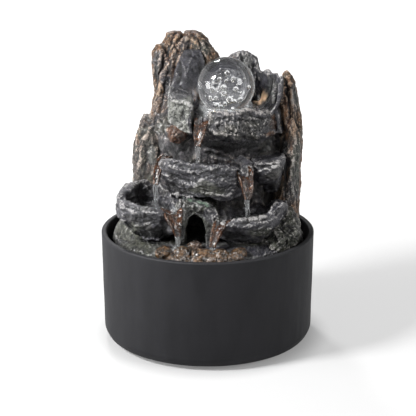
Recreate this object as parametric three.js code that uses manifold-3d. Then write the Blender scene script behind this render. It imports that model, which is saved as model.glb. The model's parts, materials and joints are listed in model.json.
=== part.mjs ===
// Tabletop water fountain: a round bowl, a rockery with four basins and five spouts,
// a glass ball turned by the jet, and the pump that feeds it. Millimetres, +Z up,
// front is -Y, origin at the middle of the bowl's footprint.
import * as THREE from 'three';
import { mergeVertices } from 'three/addons/utils/BufferGeometryUtils.js';
import Module from 'manifold-3d';

const wasm = await Module();
wasm.setup();

// ---------- driving dimensions ----------
const GAP = 0.3; // clearance between touching pieces
const BOWL = { rim: 95, foot: 93.7, height: 99, wall: 5, floorTop: 7, bottom: 2, round: 8 };
const PAD = { radius: 7, top: 1.7, ring: 74 };
const NOTCH = { width: 11, depth: 10, liner: 1.6 };
const SKIRT = { outer: 84.5, inner: 79, bottom: BOWL.floorTop + GAP, ceiling: 93 };
const AXIS = { x: 16, y: 2 }; // shared by riser, nozzle, lamps, seat and ball
const BALL = { radius: 25, z: 228.3 };
const SEAT = { inner: 19, outer: 24, bottom: 199.5, top: 212.1, ridge: 0.7 };
const CUP_FLOOR = SEAT.bottom - GAP;
const LAMP = { inner: 9, outer: 17, pocket: 17.6, floor: 189.5 };
const LEAD = { offset: 12.5, radius: 1.6 };
const RISER = { outer: 6, inner: 4.5, bottom: 44, top: 187.5, bore: 6.6 };
const PUMP = { z: 26, chamber: 13, front: -6, back: 10, motorBack: 44, half: 20, bottom: 11, top: 41 };

// ---------- colours ----------
const LOOK = {
  bowl: [0x37373c, 0.72, 0], rock: [0x4a4a50, 0.5, 0], brown: [0x6a5040, 0.52, 0],
  pale: [0x84847e, 0.6, 0], mossy: [0x4d5044, 0.55, 0], slate: [0x3f4048, 0.42, 0],
  rust: [0x7c4a2b, 0.3, 0], pebble: [0x8a6034, 0.28, 0], glass: [0xe9eef0, 0.05, 0],
  acrylic: [0xdfe5e8, 0.12, 0], black: [0x1c1c1e, 0.5, 0], rubber: [0x262628, 0.85, 0],
  clearTube: [0xc9d2d4, 0.3, 0], board: [0x2d5a38, 0.6, 0], lamp: [0xf4e6bf, 0.3, 0],
  foam: [0x2f3236, 0.95, 0], ceramic: [0xe6e2da, 0.4, 0],
};

// ---------- solids ----------
function toSolid(geometry) {
  const bare = new THREE.BufferGeometry();
  const spots = Float32Array.from(geometry.getAttribute('position').array,
    (v) => Math.round(v * 1e3) / 1e3);
  bare.setAttribute('position', new THREE.BufferAttribute(spots, 3));
  if (geometry.index) bare.setIndex(geometry.index.clone());
  const joined = mergeVertices(bare, 1e-4);
  const corners = joined.index.array;
  const faces = [];
  for (let i = 0; i < corners.length; i += 3) {
    const [a, b, c] = [corners[i], corners[i + 1], corners[i + 2]];
    if (a !== b && b !== c && c !== a) faces.push(a, b, c);
  }
  const make = (list) => new wasm.Manifold(new wasm.Mesh({
    numProp: 3,
    vertProperties: new Float32Array(joined.getAttribute('position').array),
    triVerts: new Uint32Array(list),
  }));
  const built = make(faces);
  if (built.volume() > 0) return built;
  const turned = [];
  for (let i = 0; i < faces.length; i += 3) turned.push(faces[i], faces[i + 2], faces[i + 1]);
  return make(turned);
}

function toGeometry(solid) {
  const mesh = solid.getMesh();
  const geometry = new THREE.BufferGeometry();
  geometry.setAttribute('position', new THREE.Float32BufferAttribute(mesh.vertProperties, 3));
  geometry.setIndex(Array.from(mesh.triVerts));
  geometry.computeVertexNormals();
  return geometry;
}

// The same solid with its skin pushed out, used to cut a clearance round it.
function grown(solid, amount) {
  const geometry = toGeometry(solid);
  const at = geometry.getAttribute('position');
  const out = geometry.getAttribute('normal');
  for (let i = 0; i < at.count; i++) {
    at.setXYZ(i, at.getX(i) + out.getX(i) * amount, at.getY(i) + out.getY(i) * amount,
      at.getZ(i) + out.getZ(i) * amount);
  }
  return toSolid(geometry).add(solid);
}

function largestPiece(solid) {
  const pieces = solid.decompose();
  return pieces.reduce((best, piece) => (piece.volume() > best.volume() ? piece : best));
}

function overlaps(a, b) {
  const p = a.boundingBox();
  const q = b.boundingBox();
  return [0, 1, 2].every((k) => p.min[k] < q.max[k] && q.min[k] < p.max[k]);
}

// Repeatable roughness between -1 and 1 for a numbered corner of a numbered rock.
function rough(seed, i, j) {
  const s = Math.sin(seed * 12.9898 + i * 78.233 + j * 37.719) * 43758.5453;
  return 2 * (s - Math.floor(s)) - 1;
}

const mix = (a, b, t) => a + (b - a) * t;
const rounding = (angle, power) =>
  (Math.abs(Math.cos(angle)) ** power + Math.abs(Math.sin(angle)) ** power) ** (-1 / power);

// ---------- rock shapes ----------
// A standing rock: levels of [z, centre x, centre y, half width, half depth], bottom first.
function pillar(levels, { sides = 12, power = 2.6, crag = 0.07, seed = 1, lean = 0 } = {}) {
  const rows = levels.length - 1;
  const geometry = new THREE.CylinderGeometry(1, 1, rows, sides, rows);
  const at = geometry.getAttribute('position');
  for (let k = 0; k < at.count; k++) {
    const row = Math.round(at.getY(k) + rows / 2);
    const angle = Math.atan2(-at.getZ(k), at.getX(k));
    const radius = Math.hypot(at.getX(k), at.getZ(k));
    const step = (Math.round((angle / (2 * Math.PI) + 0.25) * sides) + sides) % sides;
    const [z, cx, cy, rx, ry] = levels[row];
    const size = radius * rounding(angle, power) * (1 + crag * rough(seed, step, row));
    const inner = row > 0 && row < rows ? crag * 18 * rough(seed + 7, step, row) : 0;
    const x = cx + rx * size * Math.cos(angle);
    at.setXYZ(k, x, cy + ry * size * Math.sin(angle), z + inner + lean * (x - cx));
  }
  return toSolid(geometry);
}

function smoothRing(marks, degrees) {
  const turn = ((degrees % 360) + 360) % 360;
  const list = [...marks].sort((a, b) => a[0] - b[0]);
  const next = list.findIndex((m) => m[0] > turn);
  const hi = next < 0 ? [list[0][0] + 360, ...list[0].slice(1)] : list[next];
  const lo = next === 0 ? [list.at(-1)[0] - 360, ...list.at(-1).slice(1)]
    : list[(next < 0 ? list.length : next) - 1];
  const t = (turn - lo[0]) / (hi[0] - lo[0]);
  return [1, 2].map((k) => mix(lo[k], hi[k], t));
}

// A stone basin: rim marks of [degrees, radius, rim height] round (cx, cy).
function basin({ cx, cy, rim, wall, floor, floorRadius, belly, bellyDrop, base, baseScale,
  sides = 24, crag = 0.035, seed = 1 }) {
  const profile = Array.from({ length: 9 }, (_, j) => new THREE.Vector2(j % 8 ? 1 : 0, j));
  const geometry = new THREE.LatheGeometry(profile, sides);
  const at = geometry.getAttribute('position');
  for (let k = 0; k < at.count; k++) {
    const j = k % profile.length;
    const i = Math.floor(k / profile.length) % sides;
    const degrees = (360 * i) / sides;
    const [radius, top] = smoothRing(rim, degrees);
    const chip = 1 + crag * rough(seed, i, j);
    const inner = radius - wall * (1 + 0.25 * rough(seed + 3, i, 1));
    const low = typeof floorRadius === 'number' ? floorRadius : inner * 0.78;
    const spots = [
      [0, base], [radius * baseScale * chip, base + 2 * rough(seed, i, 2)],
      [radius * belly * chip, top - bellyDrop + 2 * rough(seed, i, 3)],
      [radius * chip, top - 3 + rough(seed, i, 4)], [radius - 1.2, top],
      [inner + 0.8, top - 0.2], [inner * 0.5 + low * 0.5, mix(top, floor, 0.55)],
      [Math.min(low, inner - 1.5), floor], [0, floor],
    ];
    const [r, z] = spots[j];
    const angle = THREE.MathUtils.degToRad(degrees);
    at.setXYZ(k, cx + r * Math.cos(angle), cy + r * Math.sin(angle), z);
  }
  return toSolid(geometry);
}

function boulder(x, y, z, rx, ry, rz, seed, detail = 1) {
  const geometry = new THREE.IcosahedronGeometry(1, detail);
  const at = geometry.getAttribute('position');
  for (let k = 0; k < at.count; k++) {
    const [a, b, c] = [at.getX(k), at.getY(k), at.getZ(k)];
    const lump = 1 + 0.09 * Math.sin(3 * a + seed) + 0.07 * Math.sin(4 * b + 2 * seed)
      + 0.05 * Math.sin(5 * c + 3 * seed);
    at.setXYZ(k, x + rx * a * lump, y + ry * b * lump, z + rz * c * lump);
  }
  return toSolid(geometry);
}

// A wall bent round (cx, cy): marks of [degrees, inner radius, top height].
function curvedWall({ cx, cy, marks, thick, bottom, seed = 1 }) {
  const [from, to] = [marks[0][0], marks.at(-1)[0]];
  const steps = 10;
  const geometry = new THREE.BoxGeometry(steps, 1, 3, steps, 1, 3);
  const at = geometry.getAttribute('position');
  for (let k = 0; k < at.count; k++) {
    const i = Math.round(at.getX(k) + steps / 2);
    const level = Math.round(at.getZ(k) + 1.5);
    const degrees = mix(from, to, i / steps);
    const [radius, top] = smoothRing(marks, degrees);
    const outer = at.getY(k) > 0 ? thick * mix(1.25, 0.55, level / 3) : 0;
    const r = radius + outer + 0.8 * rough(seed, i, level);
    const angle = THREE.MathUtils.degToRad(degrees);
    at.setXYZ(k, cx + r * Math.cos(angle), cy + r * Math.sin(angle),
      mix(bottom, top, level / 3));
  }
  return toSolid(geometry);
}

// A wet channel that carries water over an edge: path of [x, y, z, width], upstream first.
function spout(path, { thick = 2.6, dish = 0.16 } = {}) {
  const line = new THREE.CatmullRomCurve3(path.map(([x, y, z]) => new THREE.Vector3(x, y, z)));
  const [across, along] = [4, 6];
  const geometry = new THREE.BoxGeometry(across, along, 1, across, along, 1);
  const at = geometry.getAttribute('position');
  const side = new THREE.Vector3();
  for (let k = 0; k < at.count; k++) {
    const t = (at.getY(k) + along / 2) / along;
    const u = at.getX(k) / across; // -0.5 to 0.5
    const place = line.getPoint(t);
    const heading = line.getTangent(t);
    side.crossVectors(heading, new THREE.Vector3(0, 0, 1)).setZ(0).normalize();
    const up = new THREE.Vector3().crossVectors(side, heading).normalize();
    const spot = t * (path.length - 1);
    const low = Math.min(Math.floor(spot), path.length - 2);
    const width = mix(path[low][3], path[low + 1][3], spot - low);
    const lift = dish * width * (4 * u * u) * 1.4 + (at.getZ(k) > 0 ? 0 : -thick);
    place.addScaledVector(side, u * width).addScaledVector(up, lift);
    at.setXYZ(k, place.x, place.y, place.z);
  }
  return toSolid(geometry);
}

function box(x0, x1, y0, y1, z0, z1) {
  return toSolid(new THREE.BoxGeometry(x1 - x0, y1 - y0, z1 - z0)
    .translate((x0 + x1) / 2, (y0 + y1) / 2, (z0 + z1) / 2));
}

function upright(x, y, radius, z0, z1, sides = 24) {
  return toSolid(new THREE.CylinderGeometry(radius, radius, z1 - z0, sides)
    .rotateX(Math.PI / 2).translate(x, y, (z0 + z1) / 2));
}

function alongY(x, z, radius, y0, y1, sides = 24) {
  return toSolid(new THREE.CylinderGeometry(radius, radius, y1 - y0, sides)
    .translate(x, (y0 + y1) / 2, z));
}

// A turned part from [radius, z] pairs that close on themselves or on the axis.
function turned(pairs, x, y, sides = 32) {
  const profile = pairs.map(([r, z]) => new THREE.Vector2(r, z));
  return toSolid(new THREE.LatheGeometry(profile, sides).rotateX(Math.PI / 2).translate(x, y, 0));
}

const ring = (inner, outer, z0, z1, sides = 28) =>
  turned([[inner, z0], [outer, z0], [outer, z1], [inner, z1], [inner, z0]], AXIS.x, AXIS.y, sides);

// ---------- the rocks, front ones first ----------
function lowerLeftBasin() {
  return basin({ cx: -48, cy: -28, wall: 8, floor: 124, belly: 0.98, bellyDrop: 13, base: 105,
    baseScale: 0.6, seed: 11, rim: [[0, 25, 137], [60, 27, 139], [93, 33, 142.5], [118, 31.5, 143],
      [151, 29, 142], [180, 30.5, 137.8], [202, 30, 134.6], [225, 28.8, 133], [259, 31, 134],
      [284, 35.5, 133.8], [293, 35, 129.5], [312, 33, 129.5], [322, 31, 134.5], [335, 27, 136.5]] });
}

function lowerRightBasin() {
  return basin({ cx: 38, cy: -36, wall: 7, floor: 116, belly: 1.0, bellyDrop: 11, base: 103,
    baseScale: 0.62, seed: 23, rim: [[0, 31, 133], [8, 32.5, 132.5], [32, 31, 131], [90, 27, 133],
      [150, 28, 131], [180, 31, 127], [200, 32, 125], [208, 33, 121], [224, 34, 121],
      [234, 33, 126.4], [255, 29.5, 127], [273, 28.5, 127], [290, 28.2, 127.6], [306, 28, 130],
      [330, 26.5, 134.5], [345, 28, 135]] });
}

function middleBasin() {
  return basin({ cx: -4, cy: -22, wall: 6.5, floor: 158, belly: 0.97, bellyDrop: 11, base: 141,
    baseScale: 0.82, seed: 37, rim: [[0, 42, 168], [25, 33, 170], [60, 14, 170.5], [120, 14, 170.5],
      [155, 30, 171], [172, 36, 167], [190, 37, 166.5], [197, 38, 172.6], [205, 38, 172.5],
      [232, 28, 170.6], [262, 29, 169.3], [280, 30, 169], [305, 35, 169], [319, 39.5, 169],
      [324, 43, 163], [338, 44, 162.5], [346, 44, 166]] });
}

function ballShelf() {
  return basin({ cx: AXIS.x, cy: AXIS.y, wall: 5, floor: CUP_FLOOR, floorRadius: 24.6, belly: 1.06,
    bellyDrop: 20, base: 184, baseScale: 0.86, seed: 41, rim: [[2, 45, 213], [30, 43, 213],
      [60, 40, 212], [120, 36, 212], [160, 30, 208], [176, 27.6, 203.4], [234, 27.6, 203.4],
      [241, 28, 211.4], [256, 29.5, 211.4], [270, 30.5, 211], [290, 33, 212], [306, 35, 213.6],
      [326, 39.5, 209.3], [343, 42, 209.8]] });
}

function leftBlock() {
  const geometry = new THREE.BoxGeometry(3, 3, 4, 3, 3, 4);
  const at = geometry.getAttribute('position');
  for (let k = 0; k < at.count; k++) {
    const [u, v, w] = [at.getX(k) / 3 + 0.5, at.getY(k) / 3 + 0.5, at.getZ(k) / 4 + 0.5];
    const chip = 0.7 * rough(5, Math.round(u * 3) + 5 * Math.round(v * 3), Math.round(w * 4));
    const low = mix(199, 188.5, u) + 3 * v;
    const high = mix(221.4, 216.5, u) + 3 * v;
    at.setXYZ(k, mix(-33.8, -14.4, u) + chip, mix(mix(-8, -16, u) + 2.5 * (w - 1), 14, v) + chip,
      mix(low, high, w) + chip * (w < 1 ? 1 : 0.4));
  }
  return toSolid(geometry);
}

// The little bridge between the lower basins, with the dark hollow under it.
function archStone() {
  const outline = new THREE.Shape([[-25, 103], [-27, 122], [-26.5, 134], [-18, 135.5], [-9, 135],
    [0, 132.5], [8, 129], [9.5, 122], [6.5, 112], [4.5, 103], [-0.5, 103], [-1, 114], [-3.5, 124],
    [-10, 128.5], [-17, 125], [-19.5, 114], [-20, 103]].map(([x, z]) => new THREE.Vector2(x, z)));
  const geometry = new THREE.ExtrudeGeometry(outline, { depth: 36, steps: 3, bevelEnabled: false });
  geometry.rotateX(Math.PI / 2).translate(0, -16, 0);
  const at = geometry.getAttribute('position');
  for (let k = 0; k < at.count; k++) {
    const forward = (-16 - at.getY(k)) / 36;
    const z = at.getZ(k);
    const front = z > 126 ? 2.5 : -4 * ((126 - z) / 23);
    const chip = 0.5 * rough(3, Math.round(at.getX(k)), Math.round(z));
    at.setXYZ(k, at.getX(k) + chip, at.getY(k) + forward * front,
      z + (z > 126 ? (1 - forward) * 7 : 0));
  }
  return toSolid(geometry);
}

const pebbleSpots = [[-37, -70, 99.5, 8.2, 5.6, 6], [-21.5, -74, 99.4, 7, 5.6, 6.6],
  [-5, -75.5, 99, 8.6, 5.6, 6.6], [11, -75.5, 99, 7.6, 5.4, 6.2], [26, -72.5, 99, 7.4, 5, 5.6]];

// Every rock with the look it has. Each is cut to clear those before it, so the
// plinth and the wall the others stand on come first and then the rocks nearest the front.
function rocks() {
  const list = [
    ['plinth', 'mossy', plinth()],
    ['rear_wall', 'rock', rearWall()],
    ['spout_ball', 'rust', spout([[-3, -12, 200.6, 13], [-5, -19, 200.5, 12.5], [-7, -27, 194, 10],
      [-8.7, -32, 183, 4.5]])],
    ['spout_middle_left', 'rust', spout([[-34, -17, 169.5, 9], [-39.5, -24, 168, 8.5],
      [-43.5, -32, 159, 6], [-44.7, -37.5, 150.5, 3.5]])],
    ['spout_middle_right', 'rust', spout([[29, -35, 162.4, 14], [31.5, -44, 160.4, 13.5],
      [33.5, -50, 151, 9], [34, -52.5, 141.8, 4.5]])],
    ['spout_lower_left', 'rust', spout([[-31, -48, 129.6, 17], [-29.5, -57.5, 128, 15.5],
      [-27, -63, 121, 9.5], [-25, -66, 112.8, 4.5]])],
    ['spout_lower_right', 'rust', spout([[15, -48, 120.6, 12], [10.5, -57.5, 119, 11],
      [6.5, -65, 112, 7.5], [4, -70, 104.8, 4.5]])],
    ['middle_basin', 'rock', middleBasin()],
    ['lower_left_basin', 'rock', lowerLeftBasin()],
    ['lower_right_basin', 'rock', lowerRightBasin()],
    ['ball_shelf', 'rock', ballShelf()],
    ['left_block', 'pale', leftBlock()],
    ['rust_stone', 'rust', boulder(-26.6, -9, 187.2, 7, 6.5, 6.8, 4)],
    ['arch_stone', 'mossy', archStone()],
    ['right_lip', 'rock', pillar([[136, 57, 0, 7, 10], [145, 55, -3, 10, 13], [153, 53, -10, 12.5, 18],
      [161, 52, -13, 13.5, 20], [167.5, 53, -12, 13.5, 18.5]], { sides: 12, seed: 9, lean: 0.12 })],
    ['inner_slab', 'slate', pillar([[196, -22, 8, 13, 11], [208, -22, 16, 13, 10],
      [220, -20.5, 24, 12.5, 9], [234, -16, 35, 13, 8], [245, -14, 43, 10.5, 6.5],
      [251.5, -13.5, 47, 7, 4]], { seed: 15, crag: 0.04, power: 3 })],
    ['left_buttress', 'brown', pillar([[177, -46, 14, 8, 9], [184, -43.5, 20, 9, 10],
      [202, -39, 29, 9, 10], [219, -34.5, 38, 8.6, 9.5], [236, -30, 45, 8.2, 8.5],
      [252, -23.5, 52, 6.6, 6.5], [260.5, -18.5, 56, 3.2, 3.5]], { seed: 21 })],
    ['cup_wall', 'slate', curvedWall({ cx: AXIS.x, cy: AXIS.y, thick: 8, bottom: 188, seed: 6,
      marks: [[-12, 40, 210], [2, 41, 214], [14, 43, 224], [27, 47, 234.5], [38, 48, 232],
        [48, 48, 231], [66, 46, 233]] })],
    ['mid_peak', 'rock', pillar([[194, 30, 44, 28, 20], [212, 31, 46, 25, 17], [227, 31, 48, 19, 14],
      [236, 30.5, 49, 14.5, 11], [243, 31, 49, 12.5, 9], [248, 32, 49, 5.5, 5]],
    { seed: 27, crag: 0.05 })],
    ['left_spire', 'brown', pillar([[188, -41, 32, 10, 15], [204, -39, 38, 9.5, 14],
      [219, -37.5, 42, 9, 13], [237, -40.5, 48, 9, 10.5], [248, -42, 51.5, 7.4, 8.5],
      [254.4, -42.5, 52.5, 3, 3.8]], { seed: 31 })],
    ['middle_spire', 'brown', pillar([[196, -27, 46, 17, 22], [220, -28, 50, 15, 18],
      [240, -30, 55, 14, 14], [254, -30.5, 58, 10, 10.5], [262.5, -29.6, 61, 6.2, 7],
      [266.5, -29, 62, 2.4, 3]], { seed: 33 })],
    ['tall_spire', 'brown', pillar([[196, -5, 48, 20, 24], [224, -5, 53, 18.5, 20],
      [242, -6, 56, 16.5, 16.5], [249, -8, 58, 14, 14.5], [257, -10.5, 60, 10.5, 11.5],
      [262.5, -13.5, 62, 7, 8], [267, -15.6, 64, 2.8, 3.4]], { seed: 35, crag: 0.05 })],
    ['right_blade', 'brown', pillar([[97, 66, 4, 13, 27], [120, 69, 4, 12, 26], [141, 71.5, 7, 9.8, 22],
      [166, 73.5, 9, 8.6, 20], [184, 74.5, 11, 8.2, 18], [202, 73, 13, 8.2, 16],
      [215, 70.5, 14, 8.8, 14], [229, 70, 14.5, 5.6, 9], [235.6, 69.8, 14.5, 3.4, 5],
      [238, 69, 14.5, 1.4, 2]], { seed: 45, crag: 0.04 })],
    ['left_ledge', 'brown', pillar([[116, -49, 16, 17, 18], [141, -48.5, 15, 17, 17],
      [156, -48.5, 14, 17, 17], [169, -49, 14, 16.3, 15], [180, -49, 17, 14, 14],
      [188, -49, 21, 12, 12], [196, -50.5, 26, 7, 7.5]], { seed: 51, crag: 0.045 })],
    ['left_bank', 'mossy', pillar([[97, -60, -8, 21, 36], [107, -59, -8, 20, 34],
      [116, -56, -6, 18.6, 30], [125, -52, -4, 14, 22]], { seed: 53, sides: 16, power: 2.2 })],
    ['right_moss_rock', 'mossy', pillar([[96, 62, -33, 18, 26], [106, 62, -32, 18, 25],
      [115, 62, -28, 15.5, 22], [124, 62, -20, 12, 16]], { seed: 57, crag: 0.09, sides: 14 })],
    ['cave_stone', 'rust', boulder(-11, -64, 103, 6.4, 4.4, 4.6, 8)],
  ];
  pebbleSpots.forEach(([x, y, z, rx, ry, rz], i) => {
    list.push([`pebble_${i + 1}`, 'pebble', boulder(x, y, z, rx, ry, rz, i + 2)]);
  });
  return list;
}

function rearShell() {
  return pillar([[96, 6, 33, 68, 45], [120, 6, 33, 67, 44], [146, 6, 33, 66, 43],
    [168, 7, 33, 65, 42], [182, 7, 34, 62, 41], [193, 8, 37, 56, 39], [203, 8, 43, 50, 32]],
  { sides: 20, power: 2.9, crag: 0.03, seed: 61 });
}

// The hollow back of the rockery, open downwards over the pump.
function rearWall() {
  const hollow = pillar([[90, 6, 33, 59, 35], [146, 6, 33, 57, 33], [176, 7, 34, 54, 31],
    [187, 8, 37, 46, 26]], { sides: 16, power: 2.9, crag: 0, seed: 62 });
  return rearShell().subtract(hollow);
}

function plinth() {
  const top = [[84.5, 93], [83.2, 97], [76, 99.4], [60, 101.6], [0, 103]];
  const { inner, outer, bottom, ceiling } = SKIRT;
  const body = turned([[0, ceiling], [inner - 4, ceiling], [inner, ceiling - 5], [inner, bottom],
    [outer, bottom], ...top, [0, ceiling]], 0, 0, 40);
  const gates = [30, 150, 210, 330].map((degrees) => {
    const angle = THREE.MathUtils.degToRad(degrees);
    return toSolid(new THREE.BoxGeometry(16, 14, 10).rotateZ(angle)
      .translate(81 * Math.cos(angle), 81 * Math.sin(angle), SKIRT.bottom + 4));
  });
  return gates.reduce((left, gate) => left.subtract(gate), body);
}

// Passages through the rocks for the riser, the lamp pocket and the lamp lead.
function drill(name, solid) {
  const liftWay = upright(AXIS.x, AXIS.y, BALL.radius + 0.5, CUP_FLOOR, 290, 32);
  let left = solid.subtract(liftWay);
  const riserBore = upright(AXIS.x, AXIS.y, RISER.bore, 80, 190);
  const leadBore = upright(AXIS.x, AXIS.y + LEAD.offset, LEAD.radius + 0.4, 80, LAMP.floor + 1, 12);
  const lampPocket = upright(AXIS.x, AXIS.y, LAMP.pocket, LAMP.floor, 205, 28);
  if (['plinth', 'rear_wall', 'ball_shelf', 'middle_basin'].includes(name)) {
    left = left.subtract(riserBore).subtract(leadBore);
  }
  if (['rear_wall', 'ball_shelf'].includes(name)) left = left.subtract(lampPocket);
  return left;
}

function cutRocks() {
  const inside = turned([[0, 60], [84.4, 60], [84.4, 101], [90, 112], [90, 290], [0, 290]], 0, 0, 64);
  const whole = rocks().map(([name, look, solid]) => [name, look,
    name === 'plinth' ? solid : solid.intersect(inside)]);
  const skins = whole.map(([name, , solid]) => grown(name === 'rear_wall' ? rearShell() : solid, 0.42));
  return whole.map(([name, look, solid], i) => {
    let left = solid;
    for (let j = 0; j < i; j++) if (overlaps(left, skins[j])) left = left.subtract(skins[j]);
    return [name, look, largestPiece(drill(name, left))];
  });
}

// ---------- bowl ----------
function bowl() {
  const { rim, foot, height, wall, floorTop, bottom, round } = BOWL;
  const profile = [[0, bottom], [foot - round, bottom], [foot - round * 0.38, bottom + round * 0.25],
    [foot, bottom + round], [rim, height - 1], [rim - 1, height], [rim - wall + 1, height],
    [rim - wall, height - 1], [foot - wall - 0.3, floorTop + 3], [foot - wall - 4, floorTop],
    [0, floorTop]];
  const cut = box(-NOTCH.width / 2, NOTCH.width / 2, rim - wall - 4, rim + 4,
    height - NOTCH.depth, height + 4);
  return turned(profile, 0, 0, 56).subtract(cut);
}

// Rubber lining of the cord notch at the back of the rim.
function notchLiner() {
  const [w, d, t] = [NOTCH.width / 2 - GAP, NOTCH.depth - GAP, NOTCH.liner];
  const base = BOWL.height - d;
  const outline = new THREE.Shape([[-w, base], [w, base], [w, base + d], [w - t, base + d],
    [w - t, base + t], [t - w, base + t], [t - w, base + d], [-w, base + d]]
    .map(([x, z]) => new THREE.Vector2(x, z)));
  const long = BOWL.wall + 1;
  return toSolid(new THREE.ExtrudeGeometry(outline, { depth: long, bevelEnabled: false })
    .rotateX(Math.PI / 2).translate(0, BOWL.rim - 0.6, 0));
}

// ---------- ball and seat ----------
function ballSeat() {
  const { inner, outer, bottom, top, ridge } = SEAT;
  const pairs = [[inner, bottom], [outer, bottom]];
  for (let i = 0; i < 3; i++) {
    const z = bottom + 1.2 + i * 3.7;
    pairs.push([outer, z], [outer + ridge, z + 0.7], [outer + ridge, z + 1.9], [outer, z + 2.6]);
  }
  pairs.push([outer, top], [inner + 0.4, top], [inner, top - 0.6], [inner, bottom]);
  const drain = box(AXIS.x - 40, AXIS.x, AXIS.y - 4, AXIS.y + 4, bottom - 1, bottom + 4);
  const swung = toSolid(toGeometry(drain).translate(-AXIS.x, -AXIS.y, 0).rotateZ(0.75)
    .translate(AXIS.x, AXIS.y, 0));
  return turned(pairs, AXIS.x, AXIS.y, 28).subtract(swung);
}

// ---------- pump ----------
function pumpMotor() {
  const { z, back, motorBack, half, bottom, top } = PUMP;
  const shell = box(AXIS.x - half, AXIS.x + half, back + GAP, motorBack, bottom, top);
  const cornerCut = [-1, 1].map((s) => toSolid(new THREE.BoxGeometry(12, 60, 12)
    .rotateY(Math.PI / 4).translate(AXIS.x + s * half, 26, top)));
  const carved = cornerCut.reduce((left, cut) => left.subtract(cut), shell);
  return carved.subtract(alongY(AXIS.x, z, 7.6, 0, motorBack - 6));
}

function pumpChamber() {
  const { z, chamber, front, back, top } = PUMP;
  const drum = alongY(AXIS.x, z, chamber, front, back, 28);
  const stem = upright(AXIS.x, AXIS.y, 4.2, z + 6, top + 12);
  const bore = upright(AXIS.x, AXIS.y, 2.8, z, top + 14);
  const hollow = alongY(AXIS.x, z, chamber - 2.4, front + 2.4, back + 1, 28);
  const eye = alongY(AXIS.x, z, 5.2, front - 2, front + 4);
  return drum.add(stem).subtract(hollow).subtract(bore).subtract(eye);
}

function impeller() {
  const { z, back, motorBack } = PUMP;
  const rotor = alongY(AXIS.x, z, 6.8, back - 2.4, motorBack - 7.4, 20);
  const hub = alongY(AXIS.x, z, 3.2, -2.6, back, 16);
  const blades = [0, 1, 2, 3].map((k) => toSolid(new THREE.BoxGeometry(19, 8.6, 1.4)
    .rotateY((k * Math.PI) / 4).translate(AXIS.x, 2.2, z)));
  const wheel = [rotor, ...blades].reduce((left, piece) => left.add(piece), hub);
  return wheel.subtract(alongY(AXIS.x, z, 1.35, -10, motorBack, 12));
}

function intakeCover() {
  const { z, front } = PUMP;
  const [w, h] = [15.5, 14.5];
  const shell = box(AXIS.x - w, AXIS.x + w, front - 14, front - GAP, z - h, z + h);
  const room = box(AXIS.x - w + 1.8, AXIS.x + w - 1.8, front - 12, front + 2, z - h + 1.8, z + h - 1.8);
  let left = shell.subtract(room);
  for (const x of [-11.5, -7.9, 7.9, 11.5]) {
    left = left.subtract(box(AXIS.x + x - 1.1, AXIS.x + x + 1.1, front - 20, front - 8, z - 10, z + 10));
  }
  return left.subtract(alongY(AXIS.x, z, 2, front - 20, front - 8, 12));
}

function flowDial() {
  const { z, front } = PUMP;
  const knob = alongY(AXIS.x, z, 5.4, front - 17.4, front - 14.3, 20);
  const stem = alongY(AXIS.x, z, 1.6, front - 15, front - 11.2, 12);
  return knob.add(stem).add(box(AXIS.x - 1, AXIS.x + 1, front - 19.4, front - 16, z - 5, z + 5));
}

function suctionCup(x, y) {
  const { bottom } = PUMP;
  const low = BOWL.floorTop + GAP;
  return turned([[0, low + 1.2], [4.6, low], [5.6, low + 0.2], [5.6, low + 0.8], [2.4, low + 2.2],
    [2.4, bottom - GAP], [0, bottom - GAP]], x, y, 16);
}

// ---------- lamps ----------
function lampLead() {
  const y = AXIS.y + LEAD.offset;
  return upright(AXIS.x, y, LEAD.radius, 74, LAMP.floor - GAP, 10);
}

// ---------- assembly ----------
const group = new THREE.Group();
group.name = 'water_fountain';

function place(name, look, solid) {
  const [colour, roughness, metalness] = LOOK[look];
  const material = new THREE.MeshStandardMaterial({ color: colour, roughness, metalness });
  material.name = look;
  const box3 = solid.boundingBox();
  const middle = [0, 1, 2].map((k) => (box3.min[k] + box3.max[k]) / 2);
  const geometry = toGeometry(solid).translate(-middle[0], -middle[1], -middle[2]);
  const mesh = new THREE.Mesh(geometry, material);
  mesh.name = name;
  mesh.position.set(...middle);
  group.add(mesh);
}

place('bowl', 'bowl', bowl());
for (let i = 0; i < 4; i++) {
  const angle = Math.PI / 4 + (i * Math.PI) / 2;
  place(`foot_pad_${i + 1}`, 'rubber', upright(PAD.ring * Math.cos(angle),
    PAD.ring * Math.sin(angle), PAD.radius, 0, PAD.top, 16));
}
place('cord_notch_liner', 'rubber', notchLiner());

for (const [name, look, solid] of cutRocks()) place(name, look, solid);

place('riser_tube', 'clearTube', ring(RISER.inner, RISER.outer, RISER.bottom, RISER.top, 20));
place('nozzle', 'black', turned([[2, RISER.top + GAP], [RISER.outer, RISER.top + GAP],
  [RISER.outer, 192], [4, 199], [2, 199], [2, RISER.top + GAP]], AXIS.x, AXIS.y, 20));
place('lamp_board', 'board', ring(LAMP.inner, LAMP.outer, LAMP.floor + GAP, LAMP.floor + 2, 24));
for (let i = 0; i < 3; i++) {
  const angle = Math.PI / 6 + (i * 2 * Math.PI) / 3;
  const [x, y] = [AXIS.x + 13 * Math.cos(angle), AXIS.y + 13 * Math.sin(angle)];
  place(`lamp_${i + 1}`, 'lamp', box(x - 2.4, x + 2.4, y - 2.4, y + 2.4, LAMP.floor + 2.3, LAMP.floor + 4));
}
place('lamp_lens', 'acrylic', ring(LAMP.inner, LAMP.outer, LAMP.floor + 5.5, CUP_FLOOR - 0.4, 28));
place('lamp_lead', 'black', lampLead());

place('ball_seat', 'acrylic', ballSeat());
place('crystal_ball', 'glass', toSolid(new THREE.SphereGeometry(BALL.radius, 24, 16)
  .rotateX(Math.PI / 2).translate(AXIS.x, AXIS.y, BALL.z)));

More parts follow.
